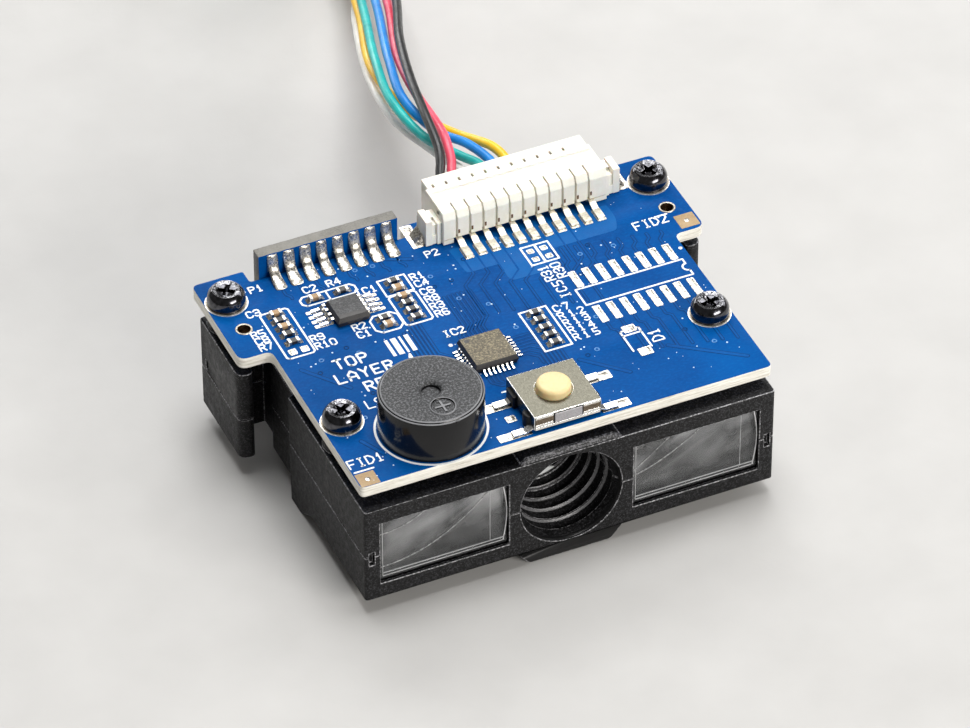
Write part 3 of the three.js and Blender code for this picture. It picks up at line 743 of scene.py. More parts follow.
def make_board():
    half, wing, front, rear, bay = 18.85, 21.75, 19.1, 29.84, 28.3
    outline = rounded([
        (-half, 0, 0.5), (half, 0, 0.5), (half, front, 0.7), (wing, front, 0.9), (wing, rear, 0.6),
        (-2.35, rear, 0.25), (-2.35, bay, 0.3), (-17, bay, 0.3), (-17, rear, 0.25), (-wing, rear, 0.6),
        (-wing, front, 0.9), (-half, front, 0.7),
    ])
    holes = [(p.x, p.y, 1.25) for p in SCREW_PLACES.values()] + [(x, y, 0.6) for x, y in TEST_HOLES]
    make_circuit_board("main_board", "decoder_board",
                       [outline] + [arc(x, y, r, 360, 10, 35) for x, y, r in holes], BOARD_THICK, 0.05,
                       Matrix.Translation((0, 0, -BOARD_THICK / 2)), 2, "edge")


GLYPHS = {
    "A": "00 04 26 44 40|02 42", "B": "00 06 36 45 44 33 03|33 42 41 30 00", "C": "45 36 16 05 01 10 30 41",
    "D": "00 06 26 44 42 20 00", "E": "46 06 00 40|03 33", "F": "46 06 00|03 33", "I": "10 30|16 36|20 26",
    "L": "06 00 40", "M": "00 06 23 46 40", "N": "00 06 40 46", "O": "10 01 05 16 36 45 41 30 10",
    "P": "00 06 36 45 44 33 03", "R": "00 06 36 45 44 33 03|23 40", "S": "45 36 16 05 04 13 33 42 41 30 10 01",
    "T": "06 46|26 20", "V": "06 20 46", "Y": "06 23 46|23 20", "U": "06 01 10 30 41 46",
    "0": "10 01 05 16 36 45 41 30 10", "1": "14 26 20|10 30", "2": "05 16 36 45 44 00 40",
    "3": "05 16 36 45 44 33 42 41 30 10 01|33 13", "4": "30 36 02 42", "5": "46 06 03 33 42 41 30 00",
    "6": "45 36 16 05 01 10 30 41 42 33 03", "7": "06 46 10",
    "8": "13 04 05 16 36 45 44 33 13 02 01 10 30 41 42 33", "9": "43 13 04 05 16 36 45 41 30 10 01",
}
SILK_LOW, SILK_HIGH = 0.002, 0.03


class Print(Shape):
    """White print on the board."""

    def line(self, *points, width=0.17, closed=False):
        return self.stroke(points, width, SILK_LOW, SILK_HIGH, closed)

    def lines(self, *rows):
        for row in rows:
            self.line(*row)

    def text(self, text, x, y, height=0.85, turn=0.0, pitch=None, width=0.14):
        """Generic stroke lettering whose first baseline point is (x, y)."""
        c, s = math.cos(math.radians(turn)), math.sin(math.radians(turn))
        for k, mark in enumerate(text):
            for strokes in GLYPHS.get(mark, "").split("|"):
                line = []
                for pair in strokes.split():
                    u = k * (pitch or height * 0.86) + int(pair[0]) / 6.6 * height
                    v = int(pair[1]) / 6 * height
                    line.append((x + c * u - s * v, y + s * u + c * v))
                if line:
                    self.line(*line, width=width)

    def frame(self, x0, x1, y0, y1, corner=0.35, width=0.17):
        """An outline with clipped corners, or with square ones if corner is 0."""
        a0, a1, b0, b1 = x0 + corner, x1 - corner, y0 + corner, y1 - corner
        loop = [(a0, y0), (a1, y0), (x1, b0), (x1, b1), (a1, y1), (a0, y1), (x0, b1), (x0, b0)]
        self.line(*(loop if corner else corners(x0, x1, y0, y1)), width=width, closed=True)


def make_silkscreen():
    s = Print()
    for row in ((-18.0, -15.45, 17.5, 23.8, 0.2), (-14.1, -9.05, 23.25, 24.5), (-7.1, -4.6, 21.6, 23.8, 0),
                (-7.1, -4.6, 17.4, 21.45, 0.2), (-9.75, -7.2, 17.4, 19.7, 0.5), (2.2, 4.7, 9.5, 14.95, 0),
                (5.9, 7.17, 20.3, 22.8, 0), (7.23, 8.45, 20.3, 22.8, 0)):
        s.frame(*row)
    s.lines(((-11.6, 23.3), (-11.6, 24.45)), ((-11.95, 19.7), (-10.3, 19.7)))
    for row in (("C3", -18.95, 23.85), ("R5", -19.6, 21.2), ("C8", -19.6, 20.3), ("R7", -19.6, 19.4),
                ("R9", -15.2, 18.75), ("R10", -15.2, 17.7), ("C2", -13.3, 24.9), ("R4", -11.1, 24.9),
                ("IC1", -9.35, 22.75), ("R1", -4.25, 22.75), ("C4", -4.25, 21.75), ("C6", -4.25, 20.55),
                ("R8", -4.25, 19.5), ("R3", -4.25, 18.45), ("R6", -4.25, 17.4), ("R2", -11.4, 18.6),
                ("C1", -11.4, 17.55), ("IC2", -4.7, 14.65), ("P1", -17.5, 26.8), ("P2", -1.85, 25.0)):
        s.text(*row, 0.79)
    for text, y in zip(("C7", "R12", "R13", "R14", "R15"), series(13.85, -1.02, 5)):
        s.text(text, 5.15, y, 0.8, 0, 0.92, 0.13)
    for row in (("TOP", -14.7, 14.6), ("LAYER 1", -15.3, 12.8), ("REV 0", -13.4, 11.0)):
        s.text(*row, 1.15, 0, 1.1, 0.2)
    for row in (("LS1", -14.3, 8.9, 1.0), ("FID1", -18.7, 2.5, 1.0, 0, 0.82), ("FID2", 16.1, 20.9, 1.0, 0, 0.82),
                ("R31", 7.0, 17.85, 0.85, 90), ("R30", 8.15, 17.85, 0.85, 90),
                ("IC5", 7.3, 15.3, 0.85, 90, 0.85), ("D1", 12.1, 6.9, 1.0, 90)):
        s.text(*row)
    # Empty small-outline footprint, with the notch at its right end
    s.lines(((7.9, 15.8), (18.0, 15.8), (18.0, 15.15)), ((18.0, 14.25), (18.0, 13.6), (7.9, 13.6), (7.9, 15.8)),
            arc(18.0, 14.7, 0.45, 90, 270, 8))
    s.line(*arc(18.5, 17.2, 0.1, 0, 320, 8), width=0.16)
    s.lines(((9.0, 6.5), (9.0, 9.2)), ((10.7, 6.5), (10.7, 9.2)), ((9.0, 8.6), (10.7, 8.6)),
            ((9.0, 9.2), (10.7, 9.2)))
    # Button, buzzer, chip and fiducial marks
    s.line((-3.3, 6.2), (3.3, 6.2))
    s.line(*arc(-10.5, 4.6, 4.72, 0, 360, 72)[:-1], width=0.2, closed=True)
    s.line(*arc(-4.75, 13.55, 0.12, 0, 320, 8), width=0.14)
    s.lines(((-16.9, 1.95), (-18.6, 1.95)), ((18.3, 21.9), (19.4, 21.9)))
    # Plain bars beside the chip
    for x, wide in ((-9.7, 0.3), (-9.15, 0.5), (-8.4, 0.2), (-7.9, 0.4)):
        s.block(x, x + wide, 14.2, 16.4, SILK_LOW, SILK_HIGH)
    s.build("silkscreen", "silk", "nylon_white")


def make_copper():
    """Traces under the mask, vias and the lighter flood by the header."""
    rng = random.Random(7)
    s = Shape()
    low, high = 0.001, 0.014

    def run(*points, w=0.17):
        s.stroke(points, w + 0.15, low, high - 0.006)
        s.stroke(points, w, low, high, slot=3)

    for k, x in enumerate(series(0.9, 1.25, 9)):
        drop = 20.6 - 0.35 * k
        run((x, 23.6), (x, drop + 0.8), (x - 1.33, drop - 0.4), (x - 1.33, 16.2 - 0.3 * k))
    for k, y in enumerate(series(9.9, 0.4, 7)):
        out = 0.34 * k
        run((-0.1, y), (0.7 + out, y), (1.5 + out, y - 0.75), (1.5 + out, 8.3 - 0.35 * k))
        run((-4.7, y), (-7.4 + out, y), (-8.1 + out, y + 0.75), (-8.1 + out, 16.4 + 0.2 * k))
        x, up, down = -3.6 + 0.4 * k, 14.3 + 0.1 * k, 7.7 - 0.08 * k
        run((x, 13.5), (x, up), (x + 0.9, up + 1), (x + 0.9, 19.6))
        run((x, 8.8), (x, down), (x + 0.7, down - 0.7), (x + 1.4, down - 0.7))
    for k, x in enumerate(FOOTPRINT_PADS):
        run((x, 18.3), (x, 19.1), (x + 0.5, 19.6), (x + 0.5, 21.4 - 0.2 * k))
        run((x, 10.8), (x, 9.9), (x + 0.4, 9.5), (x + 0.4, 6.6 - 0.3 * k))
    for x in TAB_PADS:
        run((x, 26.0), (x, 25.4), (x + 0.3, 25.0), (x + 0.3, 24.7))
    for ends in (((12.0, 6.0), (17.5, 2.0)), ((-17.5, 15.8), (-14.6, 12.0)), ((-16.5, 5.4), (-15.4, 3.2)),
                 ((4.4, 7.4), (7.6, 4.2)), ((-6.4, 26.8), (-3.2, 25.4))):
        run(*ends, w=0.3)
    flood = [(0.4, 21.7, 0.4), (14.6, 21.7, 0.4), (15.2, 23.2, 0.4), (15.2, 25.2, 0.3), (0.2, 25.2, 0.3)]
    s.prism(rounded(flood, 4), low, high - 0.004, 1)
    s.prism(oblong(3.4, 8.2, 19.2, 22.4, 0.6), low, high - 0.005, 1)
    spots = [(11.4, 20.9), (-1.6, 18.9), (0.4, 17.2), (-1.2, 21.4), (13.4, 19.9), (6.3, 8.0), (14.2, 7.3),
             (15.8, 4.9), (-16.6, 9.9), (-12.9, 16.9), (-6.6, 25.9), (-8.2, 26.0), (-10.1, 26.1), (16.2, 12.1)]
    spots += [(rng.uniform(-17.5, 17.5), rng.uniform(6.2, 26.0)) for _ in range(30)]
    for x, y in spots:
        under_chip, under_button = abs(x + 2.4) < 2.9 and abs(y - 11.15) < 2.9, abs(x) < 3.6 and y < 6.5
        if under_chip or under_button:
            continue
        s.turn([(0.24, low), (0.24, high + 0.01), (0.15, high + 0.01), (0.12, low)], (x, y, 0), 14,
               slot=2 if len(s.points) % 3 else 0)
        dx, dy = rng.uniform(-1.4, 1.4), rng.uniform(-1.4, 1.4)
        s.turn([(0.09, low), (0.08, high + 0.012), (0.0, high + 0.014)], (x + dx, y + dy, 0), 8, slot=4)
    for _ in range(150):
        spot = (rng.uniform(-18.4, 18.4), rng.uniform(0.4, 28.0), 0)
        size = rng.choice((0.035, 0.05, 0.07))
        s.turn([(size, low), (size * 0.8, high + 0.01), (0.0, high + 0.012)], spot, 6, slot=4)
    s.build("board_copper", "trace flood via board speck", "board_blue")


make_board()
make_silkscreen()
make_copper()


# ---- Pads, solder and small parts ----
PAD = 0.003  # height at which pads start, just above the mask


def solder(shape, x0, x1, y0, y1, height=0.09):
    """A tinned pad with a low crown of solder."""
    shape.prism(oblong(x0, x1, y0, y1, min(0.12, (x1 - x0) / 4)), PAD, height * 0.45)
    inset = 0.14 * min(x1 - x0, y1 - y0)
    low = corners(x0 + inset, x1 - inset, y0 + inset, y1 - inset)
    cx, cy = (x0 + x1) / 2, (y0 + y1) / 2
    shape.hexa([(x, y, height * 0.4) for x, y in low],
               [(cx + (x - cx) * 0.45, cy + (y - cy) * 0.55, height) for x, y in low])


def make_pads():
    pads = [(x - 0.42, x + 0.42, 23.35, 24.95, 0.14) for x in HEADER_PADS]
    pads += [(x - 0.34, x + 0.34, *ends) for x in FOOTPRINT_PADS for ends in ((16.0, 18.2), (10.95, 13.25))]
    pads += [(*ends, y - 0.2, y + 0.2, 0.1) for y in AMPLIFIER_LEADS for ends in ((-14.3, -12.55), (-9.5, -7.8))]
    # Lands of the button, of the missing diode and of the header's tabs
    pads += [(*row, 0.12) for row in (
        (-5.7, -3.0, 4.15, 5.2), (-6.1, -3.1, 0.35, 1.25), (3.2, 6.0, 4.15, 5.2), (3.3, 6.0, 0.35, 1.35),
        (-4.5, -3.6, 2.4, 3.2), (9.3, 10.5, 8.85, 9.75), (9.35, 10.55, 5.6, 6.6), (-2.5, -1.42, 26.5, 29.7),
        (17.0, 18.1, 26.5, 29.7))]
    pads += [(x - 0.32, x + 0.32, *ends) for x in (6.55, 7.8) for ends in ((21.8, 22.4), (20.65, 21.25))]
    pads += [(x, x + 0.72, 17.85, 18.6) for x in (-17.6, -16.5)]
    s, marks, dots = Shape(), Shape(), Shape()
    for pad in pads:
        solder(s, *pad)
    s.build("board_pads", "tin", "tab_metal", bevel=0.03, smooth=25)
    for ends, x, y in (((-18.75, -17.05, 0.05, 1.7), -17.9, 0.85), ((19.75, 21.55, 19.5, 21.3), 20.65, 20.4)):
        marks.prism(oblong(*ends, 0.08), PAD, 0.02)
        dots.turn([(0.28, PAD), (0.2, 0.045), (0.0, 0.05)], (x, y, 0), 20)
    marks.build("fiducial_windows", "gold")
    dots.build("fiducial_dots", "tin")


def small_part(shape, x, y, high, body):
    """A chip resistor or capacitor lying along x: dark or tan body between solder-wetted caps."""
    half, cap, y0, y1 = 0.525, 0.2835, y - 0.275, y + 0.275
    shape.block(x - half + cap * 0.9, x + half - cap * 0.9, y0, y1, 0.05, high, body)
    for side in (-1, 1):
        tip, foot = x + side * half, x + side * (half + 0.3)
        shape.block(*sorted((tip, tip - side * cap)), y0 - 0.02, y1 + 0.02, 0.04, high + 0.03)
        lower = corners(*sorted((foot, tip - side * 0.05)), y0 - 0.06, y1 + 0.06)
        shape.hexa([(px, py, 0.004) for px, py in lower],
                   [(px * 0.35 + tip * 0.65, py * 0.8 + y * 0.2, high * (0.3 if px == foot else 0.75))
                    for px, py in lower])


def make_small_parts():
    s = Shape()
    rows = [(-16.7, 23.25, 2), (-16.7, 22.35, 1), (-16.7, 21.4, 2), (-16.7, 20.45, 1), (-16.7, 19.35, 1),
            (-12.85, 23.85, 2), (-10.3, 23.85, 1), (-5.85, 23.2, 1), (-5.85, 22.2, 2), (-5.85, 21.0, 2),
            (-5.85, 20.1, 1), (-5.85, 19.1, 1), (-5.85, 18.1, 1), (-8.45, 19.05, 1), (-8.45, 18.1, 2)]
    rows += [(3.45, y, 1) for y in (14.4, 13.4, 12.3, 11.25, 10.2)]
    for x, y, body in rows:
        small_part(s, x, y, 0.36 if body == 1 else 0.45, body)
    s.build("small_parts", "tin resistor ceramic", bevel=0.035)


make_pads()
make_small_parts()


# ---- Chips ----
def gull_wing(shape, x, y, heading, width, out, top=0.5, thick=0.13):
    """A lead that leaves a chip's side at height top, drops and lies flat. heading is 0 for +x."""
    profile = [(0, top), (0.22 * out, top), (0.42 * out, 0.1 + thick), (out, 0.05 + thick), (out, 0.05),
               (0.36 * out, 0.08), (0.16 * out, top - thick), (0, top - thick)]
    c, s = math.cos(math.radians(heading)), math.sin(math.radians(heading))
    points = [(x + c * u - s * half, y + s * u + c * half, h)
              for half in (-width / 2, width / 2) for u, h in profile]
    side = [[0, 1, 6, 7], [1, 2, 5, 6], [2, 3, 4, 5]]
    faces = [face[::-1] for face in ring_faces([(0, 1)], 8)] + side
    shape.add(points, faces + [[8 + i for i in reversed(face)] for face in side])


def lead_rows(shape, low, high, ys, width, out):
    """Leads along both sides of a small-outline package."""
    for y in ys:
        gull_wing(shape, low.x + 0.05, y, 180, width, out)
        gull_wing(shape, high.x - 0.05, y, 0, width, out)


def chip_body(shape, low, high, draft):
    """A moulded package: a belt at the leads and sides that lean in above and below it."""
    points = [(x, y, z) for z, inset in ((low.z, draft), ((low.z + high.z) / 2, 0.0), (high.z, draft * 1.4))
              for x, y in corners(low.x + inset, high.x - inset, low.y + inset, high.y - inset)]
    shape.add(points, [[8, 9, 10, 11], [3, 2, 1, 0], *ring_faces([(0, 1), (1, 2)], 4)], [0] + [1] * 9)


def make_chips():
    low, high = span("decoder_chip")
    centre, half = middle("decoder_chip")
    s, leads = Shape(), Shape()
    chip_body(s, low, high, 0.12)
    s.turn([(0.26, high.z - 0.02), (0.24, high.z + 0.004), (0.0, high.z + 0.004)],
           (low.x + 0.65, high.y - 0.65, 0), 20, slot=1)
    s.build("decoder_package", "chip resistor", "chip_grey", "decoder_chip", bevel=0.05)
    reach = half.x - 0.06
    for shift in series(-3 * 0.42, 0.42, 7):
        for heading in (0, 90, 180, 270):
            c, d = math.cos(math.radians(heading)), math.sin(math.radians(heading))
            gull_wing(leads, centre.x + c * reach - d * shift, centre.y + d * reach + c * shift, heading,
                      0.2, 0.72, 0.42, 0.1)
    low, high = span("amplifier_chip")
    lead_rows(leads, low, high, AMPLIFIER_LEADS, 0.3, 1.35)
    leads.build("chip_leads", "bright", "tab_metal", bevel=0.02)
    s = Shape()
    chip_body(s, low, high, 0.14)
    s.block(low.x + 0.2, high.x - 0.2, low.y + 0.12, low.y + 0.62, high.z - 0.05, high.z + 0.012, 1)
    s.build("amplifier_package", "plain_chip resistor", "chip_grey", "amplifier_chip", bevel=0.05)


make_chips()


# ---- Screws ----
def make_screws():
    """Domed screws with a cross recess, in plated rings, and two plated test holes."""
    rings = Shape()
    for (name, p), turn in zip(SCREW_PLACES.items(), (0.55, 0.2, 0.95, 0.35)):
        low, high = span("board_screw_" + name)
        r, top = (high.x - low.x) / 2, high.z
        axis = (p.x, p.y, 0)
        rings.turn([(1.26, 0.003), (r + 0.21, 0.003), (r + 0.2, 0.05), (r + 0.13, 0.06), (1.3, 0.055)],
                   axis, 48, slots=[0, 0, 0, 2])
        s = Shape()
        dome = [(r * 0.99, 0.07), (r, 0.16), (r, top * 0.46), (r * 0.975, top * 0.62), (r * 0.9, top * 0.8),
                (r * 0.8, top * 0.92), (r * 0.76, top * 0.97), (r * 0.72, top), (r * 0.5, top - 0.12)]
        s.turn(dome, axis, 72, slots=[0] * 7 + [1])
        # Recess: its rim, the cross below it, and the narrower cross on its floor
        rim, half, arm, diagonal = 0.5 * r, 0.24, TAU / 4, 0.785
        rows = [[], [], []]
        for i in range(72):
            a = TAU * i / 72
            b = (a - turn) % arm
            b = min(b, arm - b)
            reach = min(rim * 0.97, half / max(math.sin(b), 1e-3)) if b < diagonal else rim
            reach = max(min(reach, rim * 0.97), half / math.sin(diagonal))
            for row, radius, z in zip(rows, (rim, reach, reach * 0.72), (top - 0.12, top - 0.14, top - 0.82)):
                row.append((p.x + radius * math.cos(a), p.y + radius * math.sin(a), z))
        s.add(sum(rows, []) + [(p.x, p.y, top - 0.94)],
              ring_faces([(0, 1), (1, 2)], 72) + [[144 + i, 144 + (i + 1) % 72, 216] for i in range(72)])
        # Threaded shank
        thread = [(0.0, low.z), (0.3, low.z), (0.85, low.z + 1.0)]
        z = low.z + 1.0
        while z < -0.6:
            thread += [(0.92, z + 0.18), (0.78, z + 0.38)]
            z += 0.5
        s.turn(thread + [(0.85, 0.0), (r * 0.99, 0.07)], axis, 36)
        piece = s.build("screw_" + name, "screw screw_rim", "screw_black", "board_screw_" + name, smooth=42)
        weld(piece.data, 1e-7)
    bottom = 0.01 - BOARD_THICK
    for x, y in TEST_HOLES:
        rings.turn([(0.61, bottom), (0.61, PAD), (0.75, PAD), (0.72, 0.045), (0.62, 0.05), (0.57, 0.03),
                    (0.57, bottom)], (x, y, 0), 40, closed=True, slots=[2, 2, 2, 2, 2, 1, 2])
    rings.build("plated_rings", "plate brown dull", "tab_metal", smooth=40)


make_screws()


# ---- Buzzer ----
def make_buzzer():
    centre, half = middle("buzzer_case")
    cx, cy, r, top = centre.x, centre.y, half.x, centre.z + half.z
    s = Shape()
    profile = [(r - 0.45, 0.06), (r - 0.03, 0.06), (r, 0.12), (r, top - 0.26), (r - 0.02, top - 0.18),
               (r - 0.07, top - 0.13), (r - 0.14, top - 0.12), (r - 0.17, top - 0.17), (r - 0.22, top - 0.06),
               (r - 0.27, top - 0.01), (r - 0.34, top), (1.05, top), (0.92, top - 0.1), (0.8, top - 0.26),
               (0.8, top - 0.5), (r - 0.45, top - 0.5), (r - 0.45, 0.06)]
    # Rim edges in slot 2 take the lighter embossed-edge paint: painted highlights, the rim's bright double line
    s.turn(profile, (cx, cy, 0), 120, slots=[0, 0, 0, 0, 2, 2, 0, 0, 2, 2, 1, 1, 1, 0, 0, 0])
    # Raised ring with a plus sign in it; the ring's outer side and top, and the plus sign's top, take the lighter
    # embossed-edge paint: painted highlights
    my = cy - 2.45
    ring = [(1.14, top - 0.01), (1.13, top + 0.06), (1.09, top + 0.1), (1.03, top + 0.1), (0.97, top + 0.06),
            (0.94, top - 0.01)]
    s.turn(ring, (cx, my, 0), 64, slots=[2, 2, 2, 0, 0])
    for dx, dy in ((0.72, 0.09), (0.09, 0.72)):
        s.block(cx - dx, cx + dx, my - dy, my + dy, top - 0.01, top + 0.08 + dx * 0.01, 0, 2)
    # Notch in the rim and the floor of the sound hole
    s.block(cx + 0.3, cx + 0.65, cy - r - 0.04, cy - r + 0.2, top - 0.3, top - 0.12)
    s.turn([(0.0, top - 0.7), (0.79, top - 0.7), (0.79, top - 0.48), (0.0, top - 0.48)], (cx, cy, 0), 48, slot=1)
    s.build("buzzer_shell", "buzzer buzzer_top emboss", "buzzer_black", "buzzer_case", smooth=40)


make_buzzer()


# ---- Push button ----
def make_button_cover(cx, cy, w, d, top):
    """A folded sheet with a round window over the plunger."""
    n, bore, fold, lip = 64, 1.6, 0.42, top - 0.22
    window = arc(cx, cy, bore, 0, 360, n)[:-1]
    outline = []
    for x, y in window:
        a = math.atan2(y - cy, x - cx)
        k = min(w / max(abs(math.cos(a)), 1e-6), d / max(abs(math.sin(a)), 1e-6))
        outline.append((cx + k * math.cos(a), cy + k * math.sin(a)))
    for corner in corners(cx - w, cx + w, cy - d, cy + d):
        outline[min(range(n), key=lambda q: math.dist(outline[q], corner))] = corner
    inside = [(cx + (x - cx) * 0.96, cy + (y - cy) * 0.96) for x, y in outline]
    levels = ((outline, fold), (outline, top), (window, top), (window, lip), (inside, lip), (inside, fold))
    s = Shape().loft([[(x, y, z) for x, y in loop] for loop, z in levels])
    piece = s.build("button_cover", "cover bright", "switch_metal", "switch_cover", bevel=0.08, smooth=40,
                    segments=3)
    # The bevel faces take the bright metal: a painted highlight along the cover's edges
    piece.modifiers["bevel"].material = 1


def make_button():
    centre, half = middle("switch_cover")
    cx, cy, w, d, top = centre.x, centre.y, half.x, half.y, centre.z + half.z
    make_button_cover(cx, cy, w, d, top)
    clip = Shape()
    for y0, y1 in ((cy - d - 0.03, cy - d + 0.1), (cy + d - 0.1, cy + d + 0.03)):
        # Shaded sides, the bright sill under them, and the latch in the middle
        clip.blocks((cx - w + 0.14, cx - 1.3, y0, y1, 0.93, top - 0.33, 1),
                    (cx + 1.42, cx + w - 0.14, y0, y1, 0.93, top - 0.33, 1),
                    (cx - w + 0.1, cx + w - 0.1, y0 - 0.01, y1 + 0.01, 0.36, 0.64))
        for x0, x1 in ((cx - w + 0.12, cx - 1.31), (cx + 1.43, cx + w - 0.12)):
            clip.blocks((x0, x1, y0 - 0.005, y1 + 0.005, 0.63, 0.92),
                        (x0, x1, y0 - 0.005, y1 + 0.005, top - 0.32, top - 0.07))
        clip.blocks((cx - 1.3, cx + 1.42, y0, y1, 0.66, top - 0.13, 3),
                    (cx - 1.19, cx + 1.31, y0 - 0.05, y1 + 0.05, 0.7, top - 0.16, 2))
    # Lugs that leave the corners and lie on the pads
    for sx in (-1, 1):
        root, bend, tip = (cx + sx * (w + out) for out in (-0.15, 0.55, 1.75))
        for y0, y1 in ((0.42, 1.1), (4.35, 5.05)):
            for run in (((root, 0.5), (bend, 0.14)), ((bend, 0.14), (tip, 0.14))):
                (xa, za), (xb, zb) = sorted(run)
                clip.slide([(xa, y0, za), (xb, y0, zb), (xb, y1, zb), (xa, y1, za)], (0, 0, 0.16))
    clip.build("button_lugs", "bright brown_metal clip switch", "tab_metal", bevel=0.03)
    # Base, which leaves room for the plunger's flange to come down
    low, high = span("switch_base")
    plunger_low, plunger_high = span("switch_plunger")
    base = Shape()
    base.prism(oblong(low.x - 0.1, high.x + 0.1, low.y, high.y, 0.5, 3), low.z, plunger_low.z - 0.28)
    for sx in (-1, 1):
        x0, x1 = sorted((cx + sx * (w - 0.5), cx + sx * (w + 0.3)))
        base.prism(oblong(x0, x1, cy + 0.75, cy + 2.25, 0.2), 0.06, 1.25)
        base.turn([(0.0, 0.06), (0.72, 0.06), (0.72, 1.2), (0.6, 1.3), (0.0, 1.3)],
                  (cx + sx * (w - 0.32), cy - 1.5, 0), 40)
    base.build("button_base", "switch", "switch_black", "switch_base", bevel=0.07)
    # Plunger with an eased rim
    stem, flange, ease_r, tip = 1.5, 2.1, 0.36, plunger_high.z
    rim = arc(stem - ease_r, tip - ease_r, ease_r, 0, 90, 8)
    profile = [(0.0, plunger_low.z), (flange, plunger_low.z), (flange, 1.5), (stem + 0.02, 1.5), *rim, (0.0, tip)]
    Shape().turn(profile, (cx, cy, 0), 96).build("button_cap", "cream", "plunger_cream", "switch_plunger",
                                                 "plunger", smooth=40)


make_button()


# ---- Header and plug ----
CONTACTS = series(1.55, 1.25, 11)


def between(xs, gap):
    """The stretches between neighbouring x values, drawn back by the gap except at both ends."""
    last = len(xs) - 2
    return [(a + (gap if k else 0.0), b - (gap if k < last else 0.0))
            for k, (a, b) in enumerate(zip(xs, xs[1:]))]


def make_header():
    low, high = span("header_housing")
    left, right, front, rear, top = 0.05, 15.55, low.y, high.y, high.z
    ear_front, ear_rear = front + 0.4, rear - 1.4
    s = Shape()
    # Front wall: one rib between each two slits, with a sill above and a sloped foot
    edges = [left] + [x - 0.25 for x in CONTACTS] + [right]
    for x0, x1 in between(edges, 0.1):
        s.block(x0, x1, front, front + 0.9, 0.6, top - 0.7)
    for x0, x1 in between(edges, 0.06):
        s.hexa([(x, y, top - 0.72) for x, y in corners(x0, x1, front, front + 1.5)],
               [(x0, front + 0.3, top - 0.02), (x1, front + 0.3, top - 0.02), (x1, front + 1.5, top),
                (x0, front + 1.5, top)])
    s.blocks((left + 0.02, right - 0.02, front + 0.3, front + 1.6, 0.62, top - 0.5),
             (left, left + 1.0, front + 0.02, front + 1.1, 0.06, 0.5),
             (right - 1.3, right, front + 0.02, front + 1.1, 0.06, 0.5),
             # Roof, floor and end walls round the plug
             (left, right, front + 1.45, rear, top - 0.46, top),
             (left, right, front + 1.15, rear, 0.06, 0.46),
             (left, left + 0.72, front + 0.85, rear, 0.3, top - 0.3),
             (right - 0.72, right, front + 0.85, rear, 0.3, top - 0.3))
    # Ears that hold the solder tabs, with a groove down each
    for sx, inner in ((-1, left), (1, right)):
        for a, b, y0, y1, h in ((0.0, 0.42, ear_front, ear_rear, 2.35),
                                (0.42, 0.8, ear_front + 0.28, ear_rear - 0.25, 2.1),
                                (0.8, 1.45, ear_front + 0.1, ear_rear - 0.1, 2.7),
                                (0.1, 1.45, ear_front + 0.15, ear_front + 0.75, 1.0),
                                (0.1, 1.45, ear_rear - 0.5, ear_rear, 2.2)):
            s.block(*sorted((inner + sx * a, inner + sx * b)), y0, y1, 0.06, h)
    s.build("header_shell", "nylon", "nylon_white", "header_housing", bevel=0.055, smooth=30)
    # Contacts: a foot on its pad, a riser through the wall and a small brown latch mark
    pins, marks, feet = Shape(), Shape(), Shape()
    for contact in CONTACTS:
        x = contact - 0.04
        for y0, y1, z0, z1, h in ((23.6, 24.8, 0.1, 0.1, 0.35), (24.8, 25.5, 0.1, 0.36, 0.31),
                                  (25.5, 27.4, 0.36, 0.5, 0.27)):
            pins.slide([(x - h, y0, z0), (x + h, y0, z0), (x + h, y1, z1), (x - h, y1, z1)], (0, 0, 0.17))
        marks.prism(oblong(contact - 0.12, contact + 0.06, front - 0.012, front + 0.2, 0.03), 1.0, 1.42)
    pins.build("header_pins", "lead", "tab_metal", bevel=0.03)
    marks.build("contact_marks", "brown", "tab_metal", bevel=0.02)
    # Solder that climbs the inner side of each tab
    for sx, x in ((-1, low.x), (1, high.x)):
        x0, x1 = sorted((x + sx * 0.02, x + sx * 0.75))
        z0, z1 = (0.1, 1.0)[::-sx]
        feet.hexa([(x, y, 0.01) for x, y in corners(x0, x1, 26.7, 28.6)],
                  [(x0, 27.0, z0), (x1, 27.0, z1), (x1, 28.3, z1), (x0, 28.3, z0)])
    feet.build("tab_solder", "tin", "tab_metal", bevel=0.12)


def make_plug():
    """The plug, whose roof stands up behind the header, with a window over each contact."""
    low, high = span("plug_housing")
    x0, x1, top, rear, front = low.x, high.x, high.z, high.y, 29.9
    contacts = series(0.89, 1.235, 11)
    s, crimps = Shape(), Shape()
    s.block(x0, x1, front - 1.0, rear - 0.25, low.z, low.z + 0.75)
    for a, b in between([x0, *contacts, x1], 0.09):
        s.block(a, b, front - 0.75, front + 0.36, top - 0.75, top + 0.28)
    s.blocks((x0, x1, front - 1.17, front - 0.7, top - 0.7, top + 0.3),
             (x0, x1, front + 0.3, rear, top - 0.85, top + 0.28),
             (x0 + 0.02, x1 - 0.02, front - 1.0, front - 0.3, low.z + 0.05, top - 0.1))
    for x in [x0 + 0.2, *series(x0 + 1.88, 1.25, 11), x1 - 0.2]:
        s.block(x - 0.2, x + 0.2, front - 0.9, rear - 0.02, low.z + 0.05, top - 0.1)
    piece = s.build("plug_shell", "nylon", "nylon_white", "plug_housing", bevel=0.07, smooth=30)
    # Contacts under the windows, in the darker shaded metal: real contacts, their dark tone painted shade at the
    # bottom of each window
    for x in contacts:
        crimps.block(x - 0.095, x + 0.095, front - 0.62, front + 0.22, top - 0.4, top + 0.1)
    crimps.build("plug_contacts", "brown_metal", "tab_metal", bevel=0.02)
    return piece


make_header()
PLUG_SHELL = make_plug()


